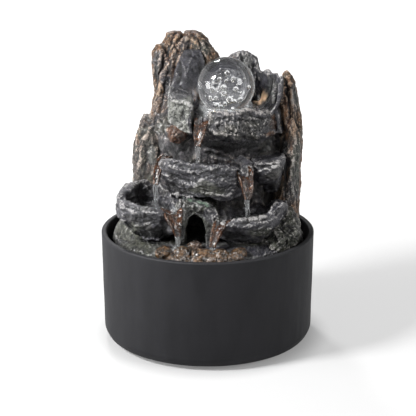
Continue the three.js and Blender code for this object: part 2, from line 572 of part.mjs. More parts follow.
place('pump_motor', 'black', pumpMotor());
place('pump_chamber', 'black', pumpChamber());
place('impeller', 'ceramic', impeller());
place('impeller_shaft', 'ceramic', alongY(AXIS.x, PUMP.z, 1, -3.2, PUMP.motorBack - 6.3, 12));
place('intake_cover', 'black', intakeCover());
place('filter_foam', 'foam', box(AXIS.x - 13.2, AXIS.x + 13.2, PUMP.front - 7.7, PUMP.front - 0.6,
  PUMP.z - 12.2, PUMP.z + 12.2));
place('flow_dial', 'black', flowDial());
place('cord_gland', 'rubber', alongY(AXIS.x, PUMP.z + 4, 4, PUMP.motorBack + GAP, PUMP.motorBack + 8, 16));
[[-16, 14], [16, 14], [-16, 40], [16, 40]].forEach(([x, y], i) => {
  place(`suction_cup_${i + 1}`, 'rubber', suctionCup(AXIS.x + x, y));
});

export default group;
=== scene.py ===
import json
import math

import bpy
import bmesh
import numpy as np
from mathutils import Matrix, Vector
from mathutils.bvhtree import BVHTree


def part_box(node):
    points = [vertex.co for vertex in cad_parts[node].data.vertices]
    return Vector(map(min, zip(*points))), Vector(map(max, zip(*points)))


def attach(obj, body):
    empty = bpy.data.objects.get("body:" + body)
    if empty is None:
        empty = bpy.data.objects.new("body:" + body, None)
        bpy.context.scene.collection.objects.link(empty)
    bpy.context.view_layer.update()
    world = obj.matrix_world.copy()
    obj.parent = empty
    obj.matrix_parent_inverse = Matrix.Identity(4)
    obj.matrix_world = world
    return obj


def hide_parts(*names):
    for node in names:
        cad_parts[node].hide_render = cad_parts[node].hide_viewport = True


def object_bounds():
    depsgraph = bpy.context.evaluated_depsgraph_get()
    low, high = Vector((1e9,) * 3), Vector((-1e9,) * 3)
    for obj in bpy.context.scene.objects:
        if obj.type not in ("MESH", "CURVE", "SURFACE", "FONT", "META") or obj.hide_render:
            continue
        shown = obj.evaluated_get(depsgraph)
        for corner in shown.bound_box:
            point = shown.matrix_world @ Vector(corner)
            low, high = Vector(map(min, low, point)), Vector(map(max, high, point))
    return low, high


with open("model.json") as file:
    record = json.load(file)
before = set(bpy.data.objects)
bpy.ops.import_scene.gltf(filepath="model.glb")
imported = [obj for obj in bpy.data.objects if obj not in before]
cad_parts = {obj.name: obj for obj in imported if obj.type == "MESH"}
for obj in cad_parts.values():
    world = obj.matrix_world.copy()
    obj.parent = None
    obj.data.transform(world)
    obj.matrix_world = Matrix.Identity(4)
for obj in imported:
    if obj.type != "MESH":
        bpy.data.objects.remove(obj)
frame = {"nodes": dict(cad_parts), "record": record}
cad_low, cad_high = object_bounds()
scene = bpy.context.scene
MM = 0.001


# ---------------------------------------------------------------- materials
class Value:
    """A shader socket that Python's own signs work on."""

    def __init__(self, paint, socket):
        self.paint, self.socket = paint, socket

    def maths(self, sign, other, swapped=False):
        first, second = (other, self) if swapped else (self, other)
        return self.paint.node("ShaderNodeMath", {"operation": sign}, {0: first, 1: second})

    def __add__(self, other):
        return self.maths("ADD", other)

    def __radd__(self, other):
        return self.maths("ADD", other, True)

    def __sub__(self, other):
        return self.maths("SUBTRACT", other)

    def __rsub__(self, other):
        return self.maths("SUBTRACT", other, True)

    def __mul__(self, other):
        return self.maths("MULTIPLY", other)

    def __rmul__(self, other):
        return self.maths("MULTIPLY", other, True)

    def between(self, low, high):
        """0 at low, 1 at high, eased and held outside."""
        return self.paint.node("ShaderNodeMapRange", {"interpolation_type": "SMOOTHSTEP"},
                               {0: self, 1: low, 2: high, 3: 0.0, 4: 1.0})

    def clamped(self):
        return self.paint.node("ShaderNodeClamp", {}, {0: self, 1: 0.0, 2: 1.0})


class Paint:
    """One material under construction."""

    def __init__(self, name):
        self.material = bpy.data.materials.new(name)
        self.material.use_nodes = True
        self.tree = self.material.node_tree
        self.tree.nodes.clear()
        self.place = self.node("ShaderNodeTexCoord", {}, {}, "Object")

    def node(self, kind, settings, sockets, out=0):
        made = self.tree.nodes.new(kind)
        for key, value in settings.items():
            if key == "stops":
                ramp = made.color_ramp
                while len(ramp.elements) < len(value):
                    ramp.elements.new(0.5)
                for element, (at, colour) in zip(ramp.elements, value):
                    element.position, element.color = at, (*colour, 1)
            else:
                setattr(made, key, value)
        for key, value in sockets.items():
            if isinstance(value, Value):
                self.tree.links.new(value.socket, made.inputs[key])
            else:
                made.inputs[key].default_value = value
        return Value(self, made.outputs[out]) if len(made.outputs) else None

    def noise(self, size, detail=4, rough=0.55, where=None, lacunarity=2.0, distortion=0.0):
        """Cloudy noise whose features are about size metres across."""
        return self.node("ShaderNodeTexNoise", {},
                         {"Vector": where or self.place, "Scale": 1 / size, "Detail": detail,
                          "Roughness": rough, "Lacunarity": lacunarity, "Distortion": distortion})

    def stretched(self, x, y, z):
        return self.node("ShaderNodeMapping", {}, {"Vector": self.place, "Scale": (x, y, z)})

    def mixed(self, first, second, share):
        colour = lambda c: (*c, 1) if isinstance(c, tuple) and len(c) == 3 else c
        return self.node("ShaderNodeMix", {"data_type": "RGBA"},
                         {0: share, 6: colour(first), 7: colour(second)}, 2)

    def attribute(self, name):
        return self.node("ShaderNodeAttribute", {"attribute_name": name}, {}, "Fac")

    def bump(self, height, strength, depth):
        return self.node("ShaderNodeBump", {},
                         {"Height": height, "Strength": strength, "Distance": depth}, "Normal")

    def finish(self, **sockets):
        names = {key.replace("_", " ").title().replace("Ior", "IOR"): value
                 for key, value in sockets.items()}
        for key, value in names.items():
            if isinstance(value, tuple) and len(value) == 3:
                names[key] = (*value, 1)
        shader = self.node("ShaderNodeBsdfPrincipled", {}, names)
        self.node("ShaderNodeOutputMaterial", {}, {"Surface": shader})
        return self.material


def rock_paint():
    """Cast resin rock: painted shade, near black, in its hollows, creases and undersides; brushed pale on its
    ridges, which also stands for painted highlights; tinted by where it is.
    """
    p = Paint("painted_rock")
    ridge, hollow = p.attribute("ridge"), p.attribute("hollow")
    brown, slate, moss = p.attribute("brown"), p.attribute("slate"), p.attribute("moss")
    pale, rust, wet = p.attribute("pale"), p.attribute("rust"), p.attribute("wet")
    mint, glow, gold = p.attribute("mint"), p.attribute("glow"), p.attribute("gold")
    broad, middle, fine = p.noise(0.020, 3), p.noise(0.0045, 5, 0.68), p.noise(0.0012, 4, 0.7)
    streak = p.noise(0.0034, 5, 0.68, p.stretched(1.0, 1.0, 0.14))
    slip = p.noise(0.0040, 6, 0.72, p.stretched(0.6, 0.6, 1.5), 2.1, 0.8)
    crack = (slip - 0.5).maths("ABSOLUTE", 0.0)
    grey = p.mixed((0.012, 0.012, 0.015), (0.075, 0.073, 0.088), middle.between(0.34, 0.72))
    grey = p.mixed(grey, (0.036, 0.030, 0.021), broad.between(0.50, 0.68) * 0.75)
    slated = p.mixed((0.009, 0.009, 0.012), (0.052, 0.051, 0.066), streak.between(0.36, 0.76))
    browned = p.mixed((0.012, 0.007, 0.003), (0.165, 0.076, 0.031), streak.between(0.37, 0.70))
    browned = p.mixed(browned, (0.060, 0.057, 0.042), broad.between(0.50, 0.64) * 0.75)
    mossed = p.mixed((0.012, 0.013, 0.010), (0.078, 0.082, 0.056), middle.between(0.36, 0.72))
    paled = p.mixed((0.060, 0.062, 0.056), (0.22, 0.225, 0.20), middle.between(0.30, 0.70))
    rusted = p.mixed((0.010, 0.004, 0.002), (0.150, 0.054, 0.017), streak.between(0.36, 0.76))
    golden = p.mixed((0.014, 0.009, 0.005), (0.19, 0.105, 0.050), middle.between(0.36, 0.68))
    minted = p.mixed((0.040, 0.055, 0.040), (0.17, 0.26, 0.18), middle.between(0.38, 0.62))
    colour = p.mixed(grey, slated, slate)
    colour = p.mixed(colour, browned, (brown + (middle - 0.5) * 0.6).between(0.2, 0.8))
    colour = p.mixed(colour, mossed, (moss + (broad - 0.5) * 0.9).between(0.2, 0.8))
    colour = p.mixed(colour, paled, (pale + (middle - 0.5) * 0.5).between(0.1, 0.9))
    colour = p.mixed(colour, rusted, (rust + (middle - 0.5) * 0.8).between(0.15, 0.85))
    colour = p.mixed(colour, golden, (gold + (broad - 0.5) * 0.6).between(0.2, 0.8))
    colour = p.mixed(colour, minted, (mint + (middle - 0.5) * 1.4).between(0.35, 0.85))
    # Painted shade: the hollow share, high in hollows, creases, undersides and undercuts, pulls the colour
    # toward near black, broken up by noise.
    shade = (hollow + (fine - 0.5) * 0.7 - (middle - 0.5) * 1.1).between(0.08, 0.80)
    colour = p.mixed(colour, (0.0020, 0.0020, 0.0024), shade * 0.94)
    # Pale dry-brush paint on the ridges, which also stands for painted highlights: kept off undersides and
    # out of painted shade, with pale scuffs and painted glints along fine cracks.
    drybrush_and_highlight = (ridge + (fine - 0.5) * 2.4 + (middle - 0.5) * 1.8).between(0.42, 1.1)
    scuff_and_glint = crack.between(0.030, 0.004) * (1 - shade) * (ridge * 0.7 + 0.12) * fine.between(0.42, 0.6)
    cream = p.mixed((0.47, 0.455, 0.445), (0.44, 0.27, 0.145), (brown * 0.85 + rust * 0.6).clamped())
    colour = p.mixed(colour, cream, (drybrush_and_highlight * 0.72 + scuff_and_glint * 0.8).clamped() * (1 - wet * 0.8))
    # Painted glow: a warm patch of lamp light at the foot of the ball, painted into the colour of the cup
    # wall.
    colour = p.mixed(colour, (0.90, 0.62, 0.38), (glow + (middle - 0.5) * 0.4).between(0.1, 1.1) * 0.9)
    height = fine * 0.6 + slip * 1.1 + crack.between(0.0, 0.05) * 0.35
    return p.finish(
        base_color=colour,
        roughness=(0.40 + (fine - 0.5) * 0.4 + drybrush_and_highlight * 0.12 - wet * 0.26).clamped(),
        coat_weight=(wet * 0.55 + 0.12).clamped(), coat_roughness=0.14, specular_ior_level=0.5,
        normal=p.bump(height, 0.9, 0.0008))


def bowl_paint():
    p = Paint("bowl_resin")
    cloud = p.noise(0.035, 4, 0.6, p.stretched(1.0, 1.0, 0.35))
    drift = p.noise(0.008, 4, 0.6, p.stretched(1.0, 1.0, 0.22))
    grain = p.noise(0.0006, 3, 0.6)
    rub = p.attribute("ridge").between(0.25, 0.9)
    colour = p.mixed((0.0095, 0.0095, 0.0110), (0.0150, 0.0150, 0.0172), cloud.between(0.3, 0.72))
    colour = p.mixed(colour, (0.021, 0.021, 0.024), drift.between(0.55, 0.8) * 0.35)
    colour = p.mixed(colour, (0.050, 0.050, 0.053), rub * grain.between(0.35, 0.6) * 0.5)
    return p.finish(base_color=colour, roughness=0.60 + (drift - 0.5) * 0.22 + (grain - 0.5) * 0.1,
                    specular_ior_level=0.16, normal=p.bump(grain + drift * 0.6, 0.22, 0.00025))


def clear_paint(name, tint, roughness, ior, clear=1.0):
    p = Paint(name)
    haze = p.noise(0.004, 3)
    return p.finish(base_color=p.mixed(tint, tuple(c * 0.97 for c in tint), haze),
                    roughness=roughness + haze * 0.02, ior=ior, transmission_weight=clear)


def moulded_paint(name, low, high, roughness, grain=0.0008, depth=0.0001):
    """Moulded plastic, rubber or foam with its grain and handling marks."""
    p = Paint(name)
    cloud, fine = p.noise(0.012, 4), p.noise(grain, 3)
    return p.finish(base_color=p.mixed(low, high, cloud.between(0.3, 0.7)),
                    roughness=roughness + (cloud - 0.5) * 0.18 + (fine - 0.5) * 0.08,
                    normal=p.bump(fine, 0.4, depth))


ROCK = rock_paint()
BOWL = bowl_paint()
GLASS = clear_paint("ball_glass", (0.97, 0.985, 0.99), 0.0, 1.5)
BUBBLE = clear_paint("bubble_skin", (1.0, 1.0, 1.0), 0.0, 0.667)
ACRYLIC = clear_paint("ring_acrylic", (0.95, 0.97, 0.98), 0.05, 1.45, 0.88)
WATER = clear_paint("water", (0.97, 0.99, 1.0), 0.0, 1.33)
STREAM = clear_paint("running_water", (0.97, 0.99, 1.0), 0.01, 1.33, 0.94)
RUBBER = moulded_paint("black_rubber", (0.014, 0.014, 0.015), (0.03, 0.03, 0.031), 0.75)
PLASTIC = moulded_paint("pump_plastic", (0.010, 0.010, 0.011), (0.022, 0.022, 0.024), 0.42, 0.0005)
FOAM = moulded_paint("filter_foam", (0.012, 0.013, 0.015), (0.05, 0.055, 0.06), 0.95, 0.0012, 0.0008)
CERAMIC = moulded_paint("white_ceramic", (0.62, 0.60, 0.56), (0.78, 0.76, 0.72), 0.3)
BOARD = moulded_paint("lamp_board", (0.012, 0.07, 0.025), (0.025, 0.12, 0.05), 0.45)
TUBE = clear_paint("riser_plastic", (0.86, 0.9, 0.91), 0.12, 1.45)


def lamp_paint():
    p = Paint("warm_lamp")
    spot = p.noise(0.0015, 2)
    return p.finish(base_color=p.mixed((0.9, 0.75, 0.45), (1.0, 0.86, 0.6), spot), roughness=0.3,
                    emission_color=p.mixed((1.0, 0.62, 0.25), (1.0, 0.78, 0.45), spot),
                    emission_strength=2.0)


LAMP = lamp_paint()


# ---------------------------------------------------------------- noise on points
def scramble(cell, seed):
    """Repeatable numbers from 0 to 1, three for each whole-numbered cell."""
    x, y, z = (cell[:, k].astype(np.int64) for k in range(3))
    out = np.empty((len(cell), 3))
    for k in range(3):
        h = x * 374761393 + y * 668265263 + z * 2147483647 + (seed * 3 + k) * 974634777
        h = (h ^ (h >> 13)) * 1274126177 & 0x7FFFFFFF
        h = (h ^ (h >> 16)) * 69069 & 0x7FFFFFFF
        out[:, k] = (h ^ (h >> 11)) % 100003 / 100003
    return out


def soft_noise(points, seed):
    """Gradient noise, about -0.7 to 0.7, with one feature for each unit of length."""
    base = np.floor(points)
    part = points - base
    ease = part * part * part * (part * (part * 6 - 15) + 10)
    total = np.zeros(len(points))
    for corner in np.ndindex(2, 2, 2):
        off = np.array(corner)
        slope = scramble(base + off, seed) * 2 - 1
        weight = np.prod(np.where(off, ease, 1 - ease), axis=1)
        total += weight * np.sum(slope * (part - off), axis=1)
    return total


def cloudy(points, seed, octaves=4, gain=0.5):
    total, scale = np.zeros(len(points)), 1.0
    for k in range(octaves):
        total += scale * soft_noise(points * 2.03 ** k, seed + k)
        scale *= gain
    return total


def creased(points, seed, octaves=4, gain=0.55):
    """Sharp ridges with soft valleys, 0 to about 1."""
    total, scale, top = np.zeros(len(points)), 1.0, 0.0
    for k in range(octaves):
        total += scale * (1 - np.abs(soft_noise(points * 2.03 ** k, seed + k)) * 2.2) ** 2
        top += scale
        scale *= gain
    return total / top


def chipped(points, seed):
    """Stone broken into flats: the height of each flat's tilted face."""
    base = np.floor(points)
    near = np.full(len(points), 9.0)
    height = np.zeros(len(points))
    for off in np.ndindex(3, 3, 3):
        cell = base + np.array(off) - 1
        spot = cell + scramble(cell, seed)
        away = points - spot
        gap = np.sqrt(np.sum(away * away, axis=1))
        tilt = np.sum((scramble(cell, seed + 50) - 0.5) * away, axis=1)
        first = gap < near
        height = np.where(first, tilt + scramble(cell, seed + 90)[:, 0] * 0.3, height)
        near = np.where(first, gap, near)
    return height


# ---------------------------------------------------------------- mesh helpers
def new_piece(name, mesh):
    made = bpy.data.objects.new(name, mesh)
    scene.collection.objects.link(made)
    return made


def mesh_from(name, points, faces):
    mesh = bpy.data.meshes.new(name)
    mesh.from_pydata([tuple(map(float, p)) for p in points], [], faces)
    mesh.validate()
    mesh.update()
    return mesh


def spots_of(mesh):
    flat = np.empty(len(mesh.vertices) * 3, np.float32)
    mesh.vertices.foreach_get("co", flat)
    return flat.reshape(-1, 3).astype(float)


def set_spots(mesh, spots):
    mesh.vertices.foreach_set("co", spots.astype(np.float32).ravel())
    mesh.update()


def outward(mesh):
    flat = np.empty(len(mesh.vertices) * 3, np.float32)
    mesh.vertices.foreach_get("normal", flat)
    return flat.reshape(-1, 3).astype(float)


def smooth_shaded(mesh):
    mesh.polygons.foreach_set("use_smooth", [True] * len(mesh.polygons))
    mesh.update()


def faced_outward(mesh):
    shape = bmesh.new()
    shape.from_mesh(mesh)
    bmesh.ops.recalc_face_normals(shape, faces=shape.faces)
    shape.to_mesh(mesh)
    shape.free()


def settled(piece):
    """The piece's mesh with its modifiers made permanent."""
    graph = bpy.context.evaluated_depsgraph_get()
    done = bpy.data.meshes.new_from_object(piece.evaluated_get(graph))
    old = piece.data
    piece.modifiers.clear()
    piece.data = done
    bpy.data.meshes.remove(old)
    return done


def joined_copy(name, nodes, swell=0.0):
    """One closed-shell mesh from copies of CAD nodes, each merged and pushed out by swell."""
    sheet = bmesh.new()
    for node in nodes:
        part = bmesh.new()
        part.from_mesh(frame["nodes"][node].data)
        bmesh.ops.remove_doubles(part, verts=part.verts, dist=2e-6)
        part.normal_update()
        if swell:
            for v in part.verts:
                v.co += v.normal * swell
        spare = bpy.data.meshes.new("spare")
        part.to_mesh(spare)
        part.free()
        sheet.from_mesh(spare)
        bpy.data.meshes.remove(spare)
    mesh = bpy.data.meshes.new(name)
    sheet.to_mesh(mesh)
    sheet.free()
    mesh.materials.clear()
    return mesh


class Web:
    """A mesh's edges, for averaging a number or place over each point's neighbours."""

    def __init__(self, mesh):
        pairs = np.empty(len(mesh.edges) * 2, np.int32)
        mesh.edges.foreach_get("vertices", pairs)
        self.a, self.b = pairs.reshape(-1, 2).T
        self.count = np.bincount(self.a, minlength=len(mesh.vertices)) + np.bincount(
            self.b, minlength=len(mesh.vertices))
        self.size = len(mesh.vertices)

    def mean(self, values):
        if values.ndim == 1:
            total = np.bincount(self.a, values[self.b], self.size) + np.bincount(
                self.b, values[self.a], self.size)
            return total / np.maximum(self.count, 1)
        return np.stack([self.mean(values[:, k]) for k in range(values.shape[1])], axis=1)

    def smoothed(self, values, rounds):
        for _ in range(rounds):
            values = 0.5 * values + 0.5 * self.mean(values)
        return values


def put(mesh, name, values):
    made = mesh.attributes.new(name, "FLOAT", "POINT")
    made.data.foreach_set("value", values.astype(np.float32))


# ---------------------------------------------------------------- carving marks
# The front drawing is an upright sheet through the middle of the fountain; a mark drawn on it
# falls on the stone along the line from this eye point, in millimetres.
EYE = np.array([0.0, -1174.9, 485.5])

# The numbers in CARVED, PRESSED and TINTED were written here by a separate helper program, from
# places picked one at a time. They aren't worked out from the frame.
# Ridges and grooves: lift, width, how pale, and the line, all in millimetres on the front drawing.
CARVED = {
    "crest_rocks": [
        (-2.4, 1.7, 0, [(-35.1, 265.2), (-37.2, 257.5), (-39.6, 247.2), (-42, 236.8), (-43.6, 226.4),
            (-45.1, 213.8)]),
        (2.4, 1.6, 1, [(-16.8, 270.3), (-23.4, 266.7), (-28, 259.6), (-32.2, 251.3), (-36.3, 245.1),
            (-38.9, 237.8), (-41.1, 228.5), (-43.2, 220.1), (-45.1, 210.6), (-47.5, 200.1),
            (-51.3, 186.3)]),
        (-1.6, 1.2, 0, [(-30.7, 245.1), (-34.8, 237.8), (-37.5, 228.5), (-39.1, 219), (-41.3, 207.5)]),
        (1.6, 1.6, 0.5, [(-26.5, 259), (-23.4, 264.2), (-18.3, 269.3), (-13.3, 269.3), (-8.7, 264.2),
            (-5.2, 256.5), (-1.1, 247.2)]),
        (-1.8, 1.3, 0, [(-29.2, 241), (-27.6, 249.2), (-24.5, 255.4), (-20.4, 259.3), (-13.3, 261.1),
            (-6.2, 259.3), (-3.4, 252.3), (-1.1, 243)]),
        (-1.5, 1.1, 0, [(-40.7, 262.1), (-43.4, 252.3), (-44.8, 242), (-44.6, 230.6)]),
        (1, 1, 0.6, [(-38.2, 262.1), (-40.8, 253.4), (-42.4, 243), (-43.6, 234.7)]),
        (-1.6, 1.1, 0, [(-27.9, 275.9), (-30.5, 267.8), (-32.8, 259.6), (-35.7, 251.3)]),
        (1.2, 1, 0.35, [(-25.4, 275.9), (-27.5, 268.8), (-30.6, 261.6), (-34.2, 253.4),
            (-37.3, 245.1)]), (-1.3, 1, 0, [(-21.9, 272.9), (-24.9, 267.3), (-29, 261.1)]),
        (1.3, 1.1, 0.4, [(-13.2, 277), (-6.2, 269.8), (-2.1, 262.6), (1.4, 255.4), (3.5, 251.3)]),
        (-1.7, 1.2, 0, [(-10.2, 270.8), (-4.2, 263.7), (0.4, 256.5), (2.4, 250.3)]),
        (1.2, 1.1, 0.4, [(-7.7, 273.4), (-0.1, 265.7), (4.5, 259), (7, 253.4)]),
        (-1.4, 1, 0, [(-8.7, 274.9), (-1.1, 267.3), (3.5, 261.6), (6.5, 257)]),
        (-1.4, 1.1, 0, [(-14.3, 266.7), (-8.2, 262.1), (-4.7, 255.4), (-1.1, 249.2)]),
        (1.4, 1.2, 0.8, [(17.2, 252.9), (23.3, 255.4), (28.9, 257), (35, 255.4), (39.6, 251.8),
            (42.2, 245.1), (44.3, 241)]),
        (-1.2, 1.2, 0, [(22.3, 252.3), (29.4, 252.9), (35.5, 250.3), (38.7, 244.1)]),
    ],
    "slate_slabs": [
        (1, 1.1, 0.9, [(-23.5, 255.4), (-26.6, 252.3), (-27.6, 244.1), (-26.7, 236.8), (-30.3, 228.5),
            (-31.9, 220.1)]),
        (0.7, 0.8, 0.6, [(-20.4, 256.5), (-21.3, 250.3), (-20, 242), (-18.5, 232.6)]),
        (-0.9, 1, 0, [(-24, 253.4), (-23, 245.1), (-23.6, 236.8), (-26.7, 228.5)]),
        (0.5, 0.6, 0.5, [(-13.1, 256.5), (-15.9, 248.2), (-17.3, 239.9), (-17.5, 232.6)]),
        (0.5, 0.6, 0.4, [(-14.3, 255.4), (-10.3, 256.3), (-7.2, 258.7)]),
        (0.8, 1, 0.5, [(-6.2, 260.1), (-4.2, 252.3), (-2.1, 245.1)]),
        (-0.8, 1.2, 0, [(-8.2, 251.3), (-6.7, 242), (-5.2, 232.6), (-6.2, 224.3)]),
        (1.2, 1.4, 0.7, [(61, 239.4), (59.8, 228.5), (58.6, 220.1), (56.9, 213.8), (52.9, 208)]),
        (-0.8, 1.2, 0, [(57.3, 237.8), (56.2, 228.5), (54.8, 220.1), (51.3, 213.8)]),
        (0.7, 0.9, 0.5, [(43.8, 241), (49.9, 239.7), (56.1, 237.6)]),
        (2.2, 5, 0, [(-12.8, 255.4), (-16.4, 245.1), (-18.5, 234.7), (-20.6, 226.4)]),
        (1.2, 1.4, 0.3, [(-28.8, 224.3), (-22.7, 223), (-14.5, 220.1)]),
        (-1, 1.4, 0, [(-0.1, 247.2), (-1.1, 237.8), (-3.2, 228.5), (-5.2, 220.1)]),
    ],
    "left_side_rocks": [
        (1.8, 1.5, 0.9, [(-48.1, 200.1), (-51.3, 186.3), (-56.1, 179.8), (-57.4, 172.3),
            (-59.5, 160.5), (-61.2, 145.3)]),
        (-1.6, 1.2, 0, [(-52.7, 200.1), (-55.4, 190.5), (-59.1, 182), (-61.4, 171.3), (-62.8, 157.3)]),
        (1.2, 1.3, 0.5, [(-46.8, 175.6), (-45.6, 165.9), (-47.5, 156.2), (-48.7, 146.4)]),
        (-1.5, 1.4, 0, [(-43.1, 180.9), (-41.6, 171.3), (-43.8, 160.5), (-45.8, 149.7)]),
        (-1, 1.2, 0, [(-54.1, 173.4), (-53.2, 162.7), (-55.9, 150.8)]),
        (0.9, 1, 0.6, [(-59, 194.8), (-61.7, 184.1), (-63.2, 171.3), (-63.9, 158.3)]),
    ],
    "left_block_rock": [
        (1.3, 1.3, 1.2, [(-33.8, 219.9), (-31.1, 215.7), (-25.8, 213.8), (-19.6, 214.6),
            (-15.7, 212.2), (-12.7, 208.7)]),
        (0.9, 0.9, 1, [(-16, 212.2), (-17.4, 205.4), (-17.9, 196.9), (-16.6, 189.5), (-15, 184.7)]),
        (0.6, 1, 0.7, [(-33.6, 199.5), (-29, 193.9), (-22.8, 189.5), (-16.7, 183.6)]),
        (-0.6, 1, 0, [(-20.7, 209.1), (-21.7, 203.2), (-20.7, 196.9)]),
    ],
    "ball_shelf_rock": [
        (1.5, 1.4, 1.2, [(2.5, 206.6), (10.2, 205.4), (16.4, 203.6), (24.6, 203), (32.8, 206.2),
            (38, 207.8), (43.2, 205.1), (50.4, 204.1), (55.5, 207.3), (58.3, 210.8)]),
        (1.4, 1.5, 0.9, [(-0.1, 192.6), (6.1, 186.8), (13.4, 186), (20.6, 183.4), (25.8, 180.7),
            (32, 180.2), (39.3, 181.8), (46.5, 183.4), (54.8, 184.4), (58.1, 186)]),
        (0.8, 1.2, 0.9, [(2.8, 205.9), (2.8, 199), (0.7, 192.6), (-1.1, 186.3), (-5.8, 177.2)]),
        (-1.3, 1.3, 0, [(7.1, 198), (15.4, 200.1), (23.6, 196.9), (30.9, 198), (39.1, 195.8)]),
        (0.8, 1, 0.7, [(5.1, 194.8), (13.3, 196.9), (18.5, 192.6), (25.8, 188.4), (33, 187.3)]),
        (-1.2, 1.2, 0, [(14.4, 189.5), (22.7, 187.3), (31, 184.7), (40.2, 187.3), (49.5, 189.5)]),
        (0.8, 1, 0.7, [(29.8, 195.8), (37.1, 192.6), (44.3, 193.7), (51.5, 196.9)]),
        (-1.2, 1.1, 0, [(33.9, 203.2), (42.2, 200.1), (49.4, 199), (56.6, 202.2)]),
    ],
    "middle_basin_rock": [
        (1.4, 1.3, 0.7, [(-39.8, 163.2), (-31.3, 161.6), (-20.9, 158.9), (-14.7, 156.5),
            (-0.1, 155.4), (12.4, 156), (25.4, 156.2)]),
        (1.5, 1.3, 0.9, [(-39.9, 159.2), (-31.4, 156.2), (-23, 153.1), (-14.7, 151.1), (-7.9, 150.5),
            (-0.1, 153.1), (8.2, 153.8), (15.5, 153.6), (24.9, 154.4)]),
        (0.9, 1, 0.9, [(-40.5, 163.2), (-41.4, 155.1), (-41.2, 149.1), (-35.4, 148.4), (-31.5, 142.1),
            (-26.3, 138.6), (-19, 136.1)]),
        (-1.4, 1.4, 0, [(-38.2, 153.5), (-31.4, 149.7), (-24.1, 145.3), (-14.7, 142.1), (-8.5, 141)]),
        (1.1, 1.2, 0.9, [(-0.1, 149.7), (-5.3, 144.8), (-10.6, 136.6), (-5.9, 133.1), (6.2, 130.4),
            (16.7, 129.8), (24, 135.5), (25.7, 145.3), (26, 155.6)]),
        (-1.1, 1, 0, [(4.1, 148.6), (10.3, 146.4), (16.6, 148.6), (22.9, 146.4)]),
        (0.9, 0.9, 1, [(8.3, 141), (13.5, 144.2), (18.7, 141.5), (22.9, 139.9)]),
        (-0.9, 0.9, 0, [(9.3, 137.7), (15.6, 136.1), (20.8, 138.8)]),
        (1.5, 1.4, 1.2, [(40.4, 153.5), (41.6, 157.8), (47.8, 159.2), (55.1, 158.1), (61.3, 160.5),
            (65.6, 164.3)]), (1, 1, 0.9, [(40.6, 150.5), (47.9, 152.7), (55.2, 154.6), (63, 156.7)]),
        (-1, 1, 0, [(44.7, 155.6), (52, 155.6), (60.3, 158.1)]),
        (0.9, 1.1, 0.6, [(41.7, 145.3), (45.9, 142.1), (52.2, 143.2), (58.5, 138.8), (62.8, 131.7)]),
    ],
    "rear_wall_rock": [
        (2.6, 1.8, 0.9, [(-6.3, 171.3), (2, 172.3), (10.3, 169.1), (15.5, 167), (23.8, 162.7),
            (32.2, 162.7), (40.4, 167)]),
        (2.2, 1.6, 0.8, [(-1.1, 165.9), (6.1, 163.7), (13.4, 161.6), (20.7, 160.5)]),
        (2, 1.5, 0.8, [(-8.4, 168), (-10.5, 163.7), (-6.3, 160.5)]),
        (-1.8, 1.6, 0, [(6.1, 175.6), (16.5, 172.3), (26.9, 172.3), (41.4, 175.6)]),
        (1.2, 1.2, 0.8, [(20.7, 171.3), (29, 170.2), (39.4, 172.3), (49.7, 173.4)]),
    ],
    "right_blade_rock": [
        (1.4, 1.4, 0.9, [(65.1, 237.8), (66.7, 228.5), (64.6, 219), (64.5, 207.5), (68, 198),
            (72.5, 189.5), (73.7, 178.8)]),
        (1.6, 1.5, 1.1, [(69.9, 236.8), (71.1, 228.5), (72.2, 220.1), (74.5, 209.6), (75.6, 196.9),
            (75.2, 186.3), (76.7, 175.6), (75.9, 162.7)]),
        (-2, 1.4, 0, [(73.6, 228.5), (76.7, 218), (77.9, 207.5), (78.6, 194.8), (78.1, 184.1)]),
        (-1.6, 1.2, 0, [(67.3, 236.8), (68.7, 228.5), (69.5, 219), (71.4, 207.5), (72.6, 198)]),
        (-2.2, 1.8, 0, [(69.5, 180.9), (69.8, 165.9), (68.8, 149.7), (68.6, 130)]),
        (1.5, 1.5, 0.8, [(72.6, 173.4), (74, 160.5), (73.5, 147.5), (75.4, 133.3), (76.6, 123.5)]),
        (-1.7, 1.4, 0, [(76.8, 168), (77.6, 155.1), (78.3, 142.1), (79.1, 127.9)]),
        (1.2, 1.3, 0.6, [(78.7, 228.5), (80.1, 213.8), (80.9, 198), (80.5, 182), (79.9, 169.1)]),
        (-1.5, 1.5, 0, [(65, 192.6), (66.7, 182), (67.4, 171.3)]),
    ],
    "lower_left_rock": [
        (1.3, 1.4, 1.1, [(-74.4, 135.8), (-70, 138.8), (-60.7, 141.6), (-49.4, 143.6)]),
        (1.4, 1.4, 0.8, [(-74.5, 132.3), (-78.9, 128.4), (-79.7, 123.4), (-75.4, 119.8),
            (-69.1, 118.4)]),
        (1.4, 1.4, 0.8, [(-69.7, 123.2), (-65.4, 119.9), (-58.5, 118.6), (-49.8, 117.3),
            (-43.5, 117.9), (-40.4, 116.2)]),
        (1.3, 1.2, 0.8, [(-79.7, 121.8), (-73.5, 116.9), (-66.1, 112.9), (-56.1, 114.1), (-46, 112.9),
            (-40, 113.5)]),
        (-1.2, 1.2, 0, [(-75.4, 119.5), (-67.9, 115.9), (-58.5, 115.9), (-48.5, 115), (-42.3, 115.6)]),
        (1.2, 1.3, 0.8, [(-75.4, 115.6), (-74.4, 105), (-69.5, 97.1), (-58.8, 96.4), (-48.7, 100.8),
            (-40.5, 106.1)]),
        (-1.2, 1.2, 0, [(-69.9, 107.7), (-63.7, 103.7), (-54.9, 105), (-46.1, 107.7)]),
        (0.8, 1, 0.7, [(-66.1, 112.3), (-68.1, 106.3), (-65, 101.1), (-55, 102.4), (-46.1, 105.7)]),
    ],
    "lower_right_rock": [
        (0.9, 1.5, 1.1, [(15.4, 103.4), (20.4, 106.7), (30.4, 106.2), (39.2, 107.7), (48, 109),
            (54.2, 112.9), (58.1, 119.5), (61.8, 123.2), (70.3, 121.8)]),
